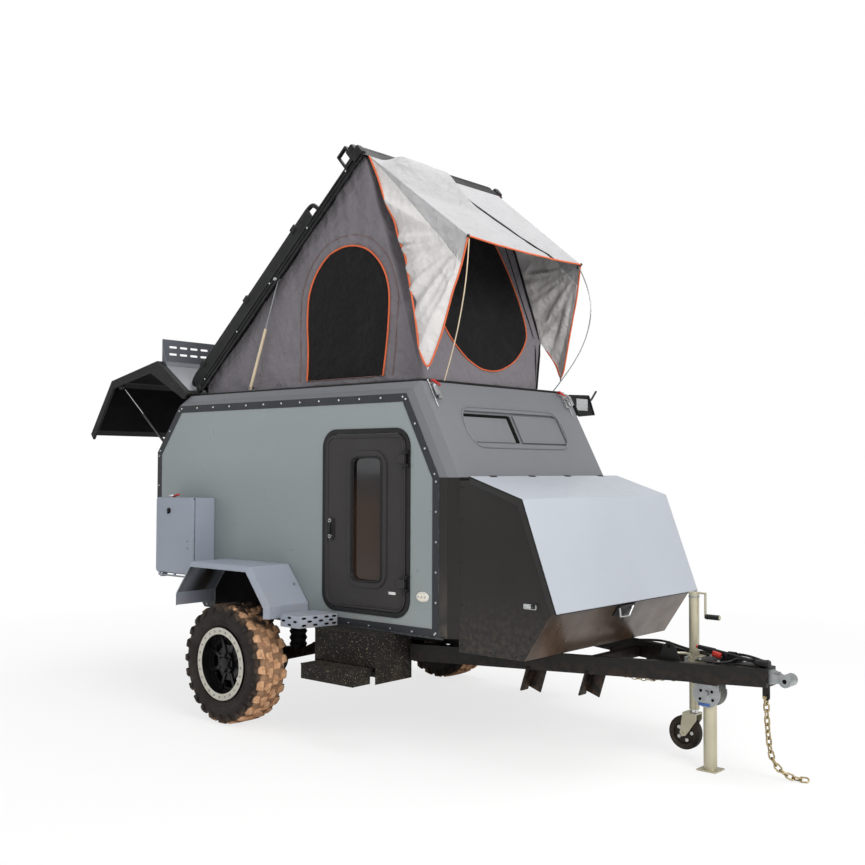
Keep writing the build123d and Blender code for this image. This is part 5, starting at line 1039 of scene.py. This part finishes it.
bm = bmesh.new()
for side, label in sides:
    build(bm, noseCatches, at, None, side)
piece("noseCatches", bm, "brightSteel strutBlack", "trailer")

# front window: dark slot behind the sliding shutters, gasket and screws
slope = Vector((-0.307, 0, 0.592)).normalized()
slopeOut = Vector((slope.z, 0, -slope.x))
slopeTurn = facing(slope, (0, 1, 0), slopeOut)
windowMiddle = at(1.715, 0, 1.660) + slope * (0.6669 * 0.53)


# across, up and out of the front window's middle
def pane(y, k, o):
    return windowMiddle + Vector((0, y, 0)) + slope * k + slopeOut * o


frontWindow = {
    "topSlot": (block, (-0.275, 0.094, -0.0165), (0.020, 0.48, 0.004), 0.001),
    "midSlot": (block, (-0.035, 0.0, -0.0165), (0.200, 0.042, 0.004), 0.001),
    "rearShutter": (block, (-0.285, -0.010, -0.016), (0.182, 0.450, 0.008), 0.003, 1),
    "shutter": (block, (0.262, 0.0, -0.012), (0.206, 0.500, 0.016), 0.004, 1),
    "gasket": (pipe, [(y, k, 0.001) for y, k in (
        (-0.545, 0.06), (-0.545, -0.05), (-0.50, -0.138), (-0.40, -0.148), (0.40, -0.148), (0.50, -0.138),
        (0.545, -0.05), (0.545, 0.05), (0.50, 0.138), (0.40, 0.148), (-0.40, 0.148), (-0.50, 0.138))], 0.006, 1, True),
    "slits": (block, [(y, -0.120, -0.006) for y in (-0.42, -0.14, 0.14, 0.42)], (0.006, 0.050, 0.006), 0.001)}
bm = bmesh.new()
build(bm, frontWindow, pane, slopeTurn)
piece("frontWindowParts", bm, "liningDark roofGrey plasticBlack", "trailer")

# over-centre catches at the roof's front corners
roofCatches = {
    "link": (rod, [(1.495, 0.738, 2.090), (1.410, 0.744, 2.262)], 0.006, 12),
    "body": (block, (1.477979, 0.735, 2.198287), (0.075, 0.034, 0.020), 0.005),
    "lever": (block, (1.430, 0.690, 2.246), (0.030, 0.075, 0.014), 0.004, 1, tilted(-24, "X")),
    "hook": (rod, [(1.424, 0.655, 2.240), (1.424, 0.740, 2.240)], 0.007, 12)}
bm = bmesh.new()
for side, label in sides:
    build(bm, roofCatches, at, slopeTurn, side)
piece("roofCatches", bm, "brightSteel leverRed", "trailer")
print("nose and front done")


# the places of a frame with rounded corners, from the three points of its upper rear corner
def cornered(middle, corner, y):
    turns = enumerate(((-1, 1), (1, 1), (1, -1), (-1, -1)))
    return [(middle[0] + sx * x, y, middle[1] + sz * z) for k, (sx, sz) in turns
            for x, z in (corner[::-1] if k % 2 else corner)]


# doors: handle lever, key cylinders, window bead, outer bead and blank reflector
door = {
    "handlePlate": (block, (0.689, -0.8812, 1.316), (0.052, 0.004, 0.132), 0.0018, 1),
    "recess": (block, (0.689, -0.8835, 1.318), (0.022, 0.006, 0.080), 0.002),
    "lever": (block, (0.689, -0.889, 1.322), (0.018, 0.012, 0.070), 0.005, 1),
    "highCylinder": (rod, [(0.689, -0.881, 1.368), (0.689, -0.890, 1.368)], 0.013, 20, 2),
    "highKeyway": (rod, [(0.689, -0.890, 1.368), (0.689, -0.892, 1.368)], 0.006, 14, 1),
    "lowCylinder": (rod, [(0.689, -0.881, 1.266), (0.689, -0.890, 1.266)], 0.013, 20, 2),
    "lowKeyway": (rod, [(0.689, -0.890, 1.266), (0.689, -0.892, 1.266)], 0.006, 14, 1),
    "windowBead": (pipe, cornered((1.013, 1.387), [(0.133, 0.30), (0.133, 0.385), (0.07, 0.394)], -0.8805), 0.007, 1,
        True),
    "outerBead": (pipe, cornered((0.986, 1.3725), [(0.333, 0.42), (0.333, 0.533), (0.22, 0.533)], -0.8722), 0.006, 3,
        True),
    "reflector": (block, (1.236, -0.8735, 0.935), (0.058, 0.003, 0.017), 0.001, 4)}
for side, label in sides:
    bm = bmesh.new()
    build(bm, door)
    toSide(bm, side)
    piece("doorParts." + label, bm, "liningDark plasticBlack brightSteel doorDark whitePlate", "door_" + label)

# side boxes: lock and bolts on the door, top catches and the door's seal on the box
sideBoxLock = {
    "plate": (rod, [(-0.835, 1.055, 1.395), (-0.835, 1.060, 1.395)], 0.021, 20),
    "lever": (block, (-0.835, 1.064, 1.392), (0.012, 0.012, 0.040), 0.003),
    "highBolt": (rod, [(-0.610, 1.055, 1.18), (-0.610, 1.0565, 1.18)], 0.005, 10),
    "lowBolt": (rod, [(-0.610, 1.055, 1.13), (-0.610, 1.0565, 1.13)], 0.005, 10)}
sideBox = {
    "catch": (block, (-0.905, -0.985, 1.500), (0.060, 0.026, 0.022), 0.005),
    "lever": (block, (-0.842, -0.985, 1.506), (0.052, 0.024, 0.014), 0.004, 1, tilted(-16, "Y")),
    "seal": (pipe, [(-0.990, -1.0362, 1.488), (-0.550, -1.0362, 1.488), (-0.550, -1.0362, 0.941),
        (-0.988, -1.0362, 0.941)],
             0.003, 2, True, False)}
for side, label in sides:
    bm = bmesh.new()
    build(bm, sideBoxLock, at, None, side)
    piece("sideBoxLock." + label, bm, "plasticBlack", "side_box_door_" + label)
bm = bmesh.new()
build(bm, sideBox)
bothSides(bm)
piece("sideBoxParts", bm, "brightSteel leverRed rubberBlack", "trailer")


# a raised oval rim round a dark face, painted shade for the hole; turned gives its length, its width and its way out
def gripHole(bm, spot, turned, long, wide):
    matrix = Matrix.Translation(spot) @ turned @ Matrix.Diagonal((long, wide, 1.0, 1.0))
    made = bmesh.ops.create_circle(bm, cap_ends=True, segments=16, radius=1.0, matrix=matrix)
    faces = list({f for v in made["verts"] for f in v.link_faces})
    bmesh.ops.inset_region(bm, faces=faces, thickness=0.0035, depth=0.0022)
    bmesh.ops.inset_region(bm, faces=faces, thickness=0.0015, depth=-0.0016)
    # the dark middle face is painted shade for the hole
    for face in faces:
        face.material_index = 1


# fenders: slanted skirt with grip holes, their dark faces painted shade, in front of the tread plate, more holes on
# top, and bolts
fender = {
    "front": (0.690, -1.150), "inner": (0.745, -0.868), "top": 0.770, "thick": 0.004, "high": 0.078, "middle": 0.731,
    "side": {"plate": (block, (0.6025, -1.1495, 0.731), (0.175, 0.004, 0.078), 0.001)},
    "skirtHole": (0.018, 0.0075), "skirtOut": 0.0022, "topHole": (0.014, 0.009),
    "skirtRows": ((0.754, (0.0865,), (0.035, 0.120, 0.205, 0.262)), (0.732, (0.030, 0.140), (0.078, 0.163, 0.240)),
                  (0.709, (0.0865,), (0.035, 0.120, 0.205, 0.262))),
    "topRows": ((0.925, 0.540, 4), (0.985, 0.561, 3), (1.045, 0.540, 4), (1.105, 0.561, 3)), "topStep": 0.042,
    "bolts": ((-0.25, 1.060, (0, 0, 1)), (0.10, 1.060, (0, 0, 1)), (0.37, 0.935, (0.777, 0, 0.629)),
              (-0.45, 0.951, (-0.79, 0, 0.61)))}
(frontX, frontY), (innerX, innerY) = fender["front"], fender["inner"]
slant = Vector((innerX - frontX, innerY - frontY, 0))
slantOut = Vector((slant.y, -slant.x, 0)).normalized()
bm = bmesh.new()
triangle = [at(x, y, fender["top"]) for x, y in ((frontX, innerY), fender["front"], fender["inner"])]
extruded(bm, triangle, (0, 0, -fender["thick"]))
block(bm, at((frontX + innerX) / 2, (frontY + innerY) / 2, fender["middle"]),
    (slant.length, fender["thick"], fender["high"]),
      0.001, 0, facing(slant.normalized(), slantOut, (0, 0, 1)))
build(bm, fender["side"])
for z, near, far in fender["skirtRows"]:
    for d in near:
        gripHole(bm, at(0.515 + d, -1.1517, z), facing((1, 0, 0), (0, 0, 1), (0, -1, 0)), *fender["skirtHole"])
    for d in far:
        spot = at(frontX, frontY, z) + slant.normalized() * d + slantOut * fender["skirtOut"]
        gripHole(bm, spot, facing(slant.normalized(), (0, 0, 1), slantOut), *fender["skirtHole"])
for y, start, count in fender["topRows"]:
    for k in range(count):
        spot = at(start + fender["topStep"] * k, -y, 0.7703)
        gripHole(bm, spot, facing((1, 0, 0), (0, -1, 0), (0, 0, 1)), *fender["topHole"])
for x, z, way in fender["bolts"]:
    bolt(bm, at(x, -0.905, z), way, 0.009, 0.005, 6, 2)
bothSides(bm)
piece("fenderParts", bm, "steelBlue liningDark galvanised", "trailer")

# dark plates on the side panels under the fenders, as painted shade of the wheel arches, and the dark edge strip under
# the floor
sill = {
    "arch": [(-0.525, 0.722), (-0.525, 0.832), (-0.357, 1.050), (0.256, 1.050), (0.450, 0.806), (0.450, 0.722)],
    "archFace": -0.8645, "strip": {"edge": (block, (0.55, -0.8655, 0.6935), (2.20, 0.006, 0.012), 0.002)}}
bm = bmesh.new()
# the dark plates stand in for the shade under each fender
extruded(bm, [at(x, sill["archFace"], z) for x, z in sill["arch"]], (0, -0.003, 0))
bmesh.ops.recalc_face_normals(bm, faces=bm.faces)
for face in bm.faces:
    face.material_index = 1
build(bm, sill["strip"])
bothSides(bm)
piece("sillStrips", bm, "trimSlate liningDark", "trailer")

# steps: grip rows, nosing strip and end plates; the case's lip and bolts
step = {
    "rows": (block, [(0.975, -0.925 - 0.027 * k, 0.4902) for k in range(9)], (0.42, 0.005, 0.0022), 0.0008),
    "nosing": (block, (0.975, -1.1805, 0.486), (0.462, 0.004, 0.010), 0.0015),
    "ends": (block, [(0.7475, -1.105, 0.4172), (1.2025, -1.105, 0.4172)], (0.0046, 0.148, 0.0430), 0.0015)}
caseBolts = ((0.76, 0.64), (0.96, 0.64), (0.86, 0.52))
stepCase = {
    "lip": (block, (0.975, -1.0265, 0.688), (0.54, 0.004, 0.009), 0.0015),
    "rearBolts": (bolt, [(0.7045, -y, z) for y, z in caseBolts], (-1, 0, 0), 0.009, 0.005, 6),
    "frontBolts": (bolt, [(1.2455, -y, z) for y, z in caseBolts], (1, 0, 0), 0.009, 0.005, 6)}
for side, label in sides:
    bm = bmesh.new()
    build(bm, step)
    toSide(bm, side)
    piece("stepGrip." + label, bm, "stepGrit", "step_" + label)
bm = bmesh.new()
build(bm, stepCase)
bothSides(bm)
piece("stepCaseParts", bm, "stepGrit", "trailer")
print("fenders and steps done")

# hatch: outer panel, dark lining and rivets along its sides
hatch = {
    "line": [(-0.920, 2.269), (-1.307, 2.540), (-1.935, 2.414), (-2.232, 1.986)], "wide": 1.60, "thick": 0.003,
    "panelOut": 0.0015, "liningIn": 0.0178, "shorter": (0.09, 0.03, 0.03), "liningShorter": 0.10,
    "rivetStep": 0.16, "rivetIn": 0.03, "rivetAt": 0.845, "rivet": (0.0065, 0.0035, 8, 2)}
bm = bmesh.new()
for a, b, shorter in zip(hatch["line"], hatch["line"][1:], hatch["shorter"]):
    run = Vector((b[0] - a[0], 0, b[1] - a[1])).normalized()
    out = Vector((-run.z, 0, run.x))
    if out.z < 0:
        out = -out
    turned = facing(run, (0, 1, 0), run.cross(Vector((0, 1, 0))))
    length = hypot(b[0] - a[0], b[1] - a[1])
    mid = at((a[0] + b[0]) / 2, 0, (a[1] + b[1]) / 2)
    block(bm, mid + out * hatch["panelOut"], (length - shorter, hatch["wide"], hatch["thick"]), 0.001, 0, turned)
    block(bm, mid - out * hatch["liningIn"], (length - hatch["liningShorter"], hatch["wide"], hatch["thick"]), 0.001,
        1, turned)
    count = max(2, round(length / hatch["rivetStep"]))
    for side, label in sides:
        for k in range(count):
            spot = mid + run * (length * ((k + 0.5) / count - 0.5)) - out * hatch["rivetIn"]
            bolt(bm, (spot.x, hatch["rivetAt"] * side, spot.z), (0, side, 0), *hatch["rivet"])
piece("hatchPanels", bm, "roofGrey liningDark rimBlack", "hatch")

# awning case: front panel, end plate, end seams, the strap's latch and three clips
awningEnd = [(0.905, 2.253), (1.155, 2.258), (1.232, 2.122), (1.030, 2.108)]
awning = {
    "panel": (block, (0.255, 1.131, 2.115), (2.15, 0.175, 0.004), 0.002, 0, tilted(4, "X")),
    "endPlate": (block, (1.3625, 1.065, 2.190), (0.006, 0.150, 0.088), 0.003),
    "rearSeam": (pipe, [(-0.850, y, z) for y, z in awningEnd], 0.010, 1, True, False),
    "frontSeam": (pipe, [(1.360, y, z) for y, z in awningEnd], 0.010, 1, True, False),
    "latch": (pipe, [(1.355, 1.200, 2.230), (1.372, 1.245, 2.300)], 0.008, 1, False, False),
    "clips": (block, [(x, 1.196, 2.190) for x in (-0.3, 0.3, 0.9)], (0.050, 0.006, 0.090), 0.002, 1, tilted(-30, "X"))}
bm = bmesh.new()
build(bm, awning)
piece("awningParts", bm, "awningGrey plasticBlack", "trailer")
print("hatch and awning done")

# drawbar: hangers under the rails, coupling plates and bolts, gusset with a dark disc as painted shade for its hole,
# brake grip
hanger = {"places": (1.98, 2.32), "tilt": 18, "railStart": 3.300, "railSlope": 0.33, "railIn": 0.042,
    "holes": (-0.045, 0.0, 0.045)}
drawbar = {
    "lowPlate": (block, (2.962, 0.0, 0.6155), (0.150, 0.190, 0.007), 0.002),
    "eyePlate": (block, (3.180, 0.0, 0.6150), (0.150, 0.110, 0.006), 0.002),
    "bolts": (bolt, [(2.905, 0.07, 0.618), (2.905, -0.07, 0.618), (3.02, 0.07, 0.618), (3.02, -0.07, 0.618),
                     (3.125, 0.04, 0.618), (3.235, 0.04, 0.618)], (0, 0, 1), 0.011, 0.008, 6, 1)}
gusset = [(2.690, 0.614), (2.840, 0.614), (2.800, 0.700), (2.765, 0.722), (2.735, 0.700)]
brake = {
    # a dark disc: painted shade for the gusset's hole
    "gussetHole": (rod, [(2.766, -0.1795, 0.692), (2.766, -0.1805, 0.692)], 0.010, 16, 3),
    "grip": (rod, [(2.850, 0.020, 0.6745), (2.955, 0.020, 0.6640)], 0.0135, 16, 4),
    "button": (rod, [(2.836, 0.020, 0.6758), (2.850, 0.020, 0.6745)], 0.009, 16, 5),
    "cover": (block, (2.985, -0.020, 0.650), (0.055, 0.020, 0.030), 0.005, 5, tilted(12, "Y"))}
bm = bmesh.new()
for x in hanger["places"]:
    y = -(hanger["railIn"] + (hanger["railStart"] - x) * hanger["railSlope"])
    block(bm, at(x, y, 0.452), (0.010, 0.074, 0.150), 0.002, 0, tilted(hanger["tilt"], "Y"))
    block(bm, at(x + 0.045, y + 0.040, 0.452), (0.100, 0.008, 0.140), 0.002, 0, tilted(hanger["tilt"], "Y"))
    for k in hanger["holes"]:
        rod(bm, (at(x - 0.012 + k * 0.3, y, 0.430 + k), at(x - 0.004 + k * 0.3, y, 0.430 + k)), 0.008, 12, 2)
bothSides(bm)
build(bm, drawbar)
extruded(bm, [at(x, -0.170, z) for x, z in gusset], (0, -0.008, 0))
build(bm, brake)
piece("drawbarParts", bm, "chassisBlack galvanised zincCream liningDark plasticBlack leverRed", "trailer")

# hoses clipped along the drawbar, and the ribbed socket that the plug's cable ends at
hoses = {
    "near": (pipe, [(2.90, 0.10, 0.622), (2.98, 0.06, 0.640), (3.06, -0.05, 0.668), (3.15, -0.085, 0.664),
                    (3.21, -0.060, 0.652), (3.225, 0.0, 0.640), (3.18, 0.045, 0.626)], 0.0075),
    "far": (pipe, [(2.70, 0.175, 0.622), (2.80, 0.140, 0.626), (2.92, 0.115, 0.630), (3.05, 0.070, 0.650),
                   (3.14, 0.035, 0.656), (3.22, 0.040, 0.640), (3.27, 0.046, 0.624)], 0.0075),
    "rear": (pipe, [(2.25, 0.30, 0.620), (2.40, 0.270, 0.640), (2.52, 0.240, 0.646), (2.64, 0.205, 0.628),
                    (2.76, 0.165, 0.620)], 0.0075),
    "neck": (pipe, [(3.225, -0.034, 0.633), (3.236, -0.034, 0.633)], 0.0125, 0, False, False),
    "collar": (rod, [(3.288, -0.034, 0.633), (3.300, -0.034, 0.633)], 0.024, 24),
    "nearTie": (rod, [(3.054, -0.062, 0.662), (3.066, -0.048, 0.665)], 0.011, 14, 1),
    "farTie": (rod, [(2.974, 0.073, 0.635), (2.986, 0.087, 0.638)], 0.011, 14, 1)}
for k in range(5):
    hoses["rib%d" % k] = (rod, [(3.236 + 0.010 * k, -0.034, 0.633), (3.241 + 0.010 * k, -0.034, 0.633)], 0.0225, 24)
bm = bmesh.new()
build(bm, hoses)
piece("drawbarHoses", bm, "plasticBlack webbingBlack", "trailer", 50.0)

# short chain with a hook under the near rail
slackChain = {"start": (2.46, -0.232, 0.505), "run": (0.30, 0.075), "sag": 0.020, "links": 11,
    "link": (0.0165, 0.008, 0.0026)}
hookEnd = [(0, 0, 0), (0.015, 0, -0.012), (0.040, 0.004, -0.006), (0.042, 0.004, 0.030)]
looseEnd = [(0, 0, 0), (-0.02, 0.012, 0.012), (-0.03, 0.030, 0.030)]
(startX, startY, startZ), (runX, runY), count = slackChain["start"], slackChain["run"], slackChain["links"]
slack = [at(startX + runX * k / count, startY + runY * k / count, startZ - slackChain["sag"] * sin(pi * k / count))
         for k in range(count + 1)]
bm = bmesh.new()
for k, (a, b) in enumerate(zip(slack, slack[1:])):
    run = (b - a).normalized()
    across = Vector((0, 0, 1)) if k % 2 else run.cross(Vector((0, 0, 1))).normalized()
    long, wide, radius = slackChain["link"]
    turns = [2 * pi * q / 8 for q in range(8)]
    pipe(bm, [(a + b) / 2 + run * long * cos(turn) + across * wide * sin(turn) for turn in turns], radius, closed=True)
pipe(bm, [slack[-1] + Vector(shift) for shift in hookEnd], 0.005)
pipe(bm, [slack[0] + Vector(shift) for shift in looseEnd], 0.004)
piece("rearSafetyChain", bm, "chainZinc", "trailer", 50.0)

# the free cable to the plug, along the same route as its solid
cable = {"diameter": 0.012, "length": 0.262, "route": [
    (3.016, -0.112, 0.619), (3.082, -0.096, 0.622), (3.120, -0.050, 0.648), (3.170, -0.036, 0.642),
    (3.252, -0.034, 0.633)]}
curve = bpy.data.curves.new("plugCable", "CURVE")
curve.dimensions = "3D"
curve.bevel_depth = cable["diameter"] / 2
curve.bevel_resolution = 4
curve.use_fill_caps = True
line = curve.splines.new("NURBS")
line.points.add(len(cable["route"]) - 1)
for spot, point in zip(line.points, cable["route"]):
    spot.co = (*at(*point), 1.0)
line.order_u = 3
line.use_endpoint_u = True
line.resolution_u = 12
plugCable = bpy.data.objects.new("plugCable", curve)
bpy.context.scene.collection.objects.link(plugCable)
curve.materials.append(looks["plasticBlack"])
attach(plugCable, "trailer")
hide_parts("drawbar_cable")

# jack: crank grip, clamp, bracket bar and collars
jack = {
    "grip": (rod, [(2.858, 0.098, 0.842), (2.945, 0.098, 0.842)], 0.0145, 20),
    "clamp": (block, (2.744, 0.098, 0.574), (0.030, 0.050, 0.050), 0.004, 1),
    "bar": (pipe, [(2.790, 0.055, 0.600), (2.800, 0.020, 0.628), (2.770, -0.040, 0.640), (2.720, -0.075, 0.636)],
        0.007, 2)}
for k in range(6):
    jack["ring%d" % k] = (rod, [(2.864 + 0.014 * k, 0.098, 0.842), (2.870 + 0.014 * k, 0.098, 0.842)], 0.0158, 20)
for z in (0.955, 0.600, 0.550):
    jack["collar%d" % (z * 1000)] = (rod, [(2.782, 0.098, z - 0.004), (2.782, 0.098, z + 0.004)], 0.0325, 24, 1)
bm = bmesh.new()
build(bm, jack)
piece("jackParts", bm, "plasticBlack galvanised zincCream", "trailer")

# drop leg: the cheeks' bolts, dark discs as painted shade for their holes, blank label and top plate
cheek = {
    "middle": -0.064, "half": 0.0475, "bolts": [(2.905, 0.490), (3.023, 0.490)], "pin": (2.964, 0.442),
    "holes": [(2.925, 0.405), (2.964, 0.442), (3.003, 0.405), (2.930, 0.452), (2.998, 0.452)]}
dropLeg = {
    "label": (block, (2.950, -0.1125, 0.375), (0.070, 0.0012, 0.016), 0.0004, 2),
    "plate": (block, (2.964, -0.0640, 0.500), (0.155, 0.150, 0.014), 0.003, 3)}
bm = bmesh.new()
for side, label in sides:
    y = cheek["middle"] + side * cheek["half"]
    for x, z in cheek["bolts"]:
        bolt(bm, at(x, y, z), (0, side, 0), 0.013, 0.010)
    # dark discs: painted shade for the holes in the cheeks
    for x, z in cheek["holes"]:
        rod(bm, (at(x, y - side * 0.001, z), at(x, y + side * 0.0006, z)), 0.0085, 14, 1)
    bolt(bm, at(cheek["pin"][0], y, cheek["pin"][1]), (0, side, 0), 0.016, 0.012)
build(bm, dropLeg)
piece("dropLegCheeks", bm, "galvanised liningDark labelBlue chassisBlack", "trailer")

# jockey wheel: pale holes in its face and a bush on each side
jockey = {
    "centre": (2.724, 0.098, 0.148), "holes": 5, "holeAt": 0.046, "face": 0.0135, "holeSize": (0.0012, 0.011),
    "bush": [(0.024, 0.0135), (0.024, 0.024), (0.018, 0.026), (0.0086, 0.026)]}
bm = bmesh.new()
for side, label in sides:
    lathe(bm, [(radius, side * y) for radius, y in jockey["bush"]], 28)
    for k in range(jockey["holes"]):
        a = 2 * pi * k / jockey["holes"]
        spot = Vector((jockey["holeAt"] * cos(a), side * jockey["face"], jockey["holeAt"] * sin(a)))
        rod(bm, (spot, spot + Vector((0, side * jockey["holeSize"][0], 0))), jockey["holeSize"][1], 14, 1)
bmesh.ops.translate(bm, verts=bm.verts, vec=at(*jockey["centre"]))
piece("jockeyWheelParts", bm, "zincCream whitePlate", "jockey_wheel")

# coupling: the bolt through the bush on each side, with a dark disc as painted shade in its socket, and ribs on its
# neck
couplingSide = {
    "washer": (rod, [(3.398, 0.048, 0.552), (3.398, 0.051, 0.552)], 0.026, 28),
    # a dark disc: painted shade in the bolt's socket
    "socket": (rod, [(3.398, 0.051, 0.552), (3.398, 0.0512, 0.552)], 0.0125, 20, 1)}
coupling = {"ribs": (block, [(3.318 + 0.012 * k, 0, 0.585) for k in range(3)], (0.006, 0.060, 0.010), 0.001)}
bm = bmesh.new()
for side, label in sides:
    build(bm, couplingSide, at, None, side)
build(bm, coupling)
piece("couplingParts", bm, "galvanised liningDark", "trailer")

# lamps: bezels round the oval markers, with three studs
oval = [(1.481 + 0.045 * cos(pi * k / 8), -0.8640, 0.931 + 0.027 * sin(pi * k / 8)) for k in range(16)]
marker = {"bezel": (pipe, oval, 0.005, 0, True)}
for x in (1.455, 1.481, 1.507):
    marker["stud%d" % (x * 1000)] = (rod, [(x, -0.8735, 0.931), (x, -0.8750, 0.931)], 0.008, 16, 1)
bm = bmesh.new()
build(bm, marker)
bothSides(bm)
piece("markerBezels", bm, "whitePlate brightSteel", "trailer", 40.0)
print("small parts done")

# floor that fades to white away from the trailer, for the camera only
stage = {"floor": 40.0, "tone": 0.90, "rough": 0.9, "fade": (2.5, 7.0), "whiteShare": (0.74, 1.0), "sky": 0.50}
bm = bmesh.new()
bmesh.ops.create_grid(bm, x_segments=1, y_segments=1, size=stage["floor"])
s = Shade("studioFloorWhite")
floor = piece("studioFloor", bm, "studioFloorWhite", None, 0)
s.give({"Base Color": (*[stage["tone"]] * 3, 1.0), "Roughness": stage["rough"]})
glow = s.node("Emission", {"Color": (1, 1, 1, 1), "Strength": 1.0})
rays = s.node("LightPath")
reach = s.vector("LENGTH", s.spot).outputs["Value"]
share = s.times(s.span(reach, *stage["fade"], stage["whiteShare"]), rays.outputs["Is Camera Ray"])
blend = s.node("MixShader", {"Fac": share, 1: s.shader.outputs["BSDF"], 2: glow.outputs["Emission"]})
s.tree.links.new(blend.outputs["Shader"], s.tree.nodes["Material Output"].inputs["Surface"])

# world: white for the camera and behind glass, dimmer as a light
world = bpy.data.worlds.new("studioWorld")
bpy.context.scene.world = world
world.use_nodes = True
nodes, links = world.node_tree.nodes, world.node_tree.links
sky = nodes["Background"]
rays, seen, strength = [nodes.new("ShaderNode" + kind) for kind in ("LightPath", "Math", "MapRange")]
seen.operation = "MAXIMUM"
strength.inputs["To Min"].default_value = stage["sky"]
strength.inputs["To Max"].default_value = 1.0
links.new(rays.outputs["Is Camera Ray"], seen.inputs[0])
links.new(rays.outputs["Is Transmission Ray"], seen.inputs[1])
links.new(seen.outputs[0], strength.inputs["Value"])
links.new(strength.outputs["Result"], sky.inputs["Strength"])
sky.inputs["Color"].default_value = (1.0, 1.0, 1.0, 1.0)

# soft lights: place, what it looks at, size, power and tint
lamps = {
    "keyLamp": ((8.5, -3.2, 5.5), (0.4, 0.0, 1.4), 5.0, 520.0, (1.0, 0.985, 0.96)),
    "fillLamp": ((-5.5, -6.5, 4.0), (-0.4, 0.0, 1.2), 5.0, 70.0, (0.95, 0.975, 1.0)),
    "topLamp": ((0.5, 1.0, 9.0), (0.2, 0.0, 1.0), 6.0, 430.0, (1.0, 1.0, 1.0))}
for name, (spot, target, size, power, tint) in lamps.items():
    light = bpy.data.lights.new(name, "AREA")
    light.shape = "SQUARE"
    light.size = size
    light.energy = power
    light.color = tint
    made = bpy.data.objects.new(name, light)
    bpy.context.scene.collection.objects.link(made)
    made.location = spot
    made.rotation_mode = "QUATERNION"
    made.rotation_quaternion = (Vector(target) - Vector(spot)).to_track_quat("-Z", "Y")

print("scene complete")
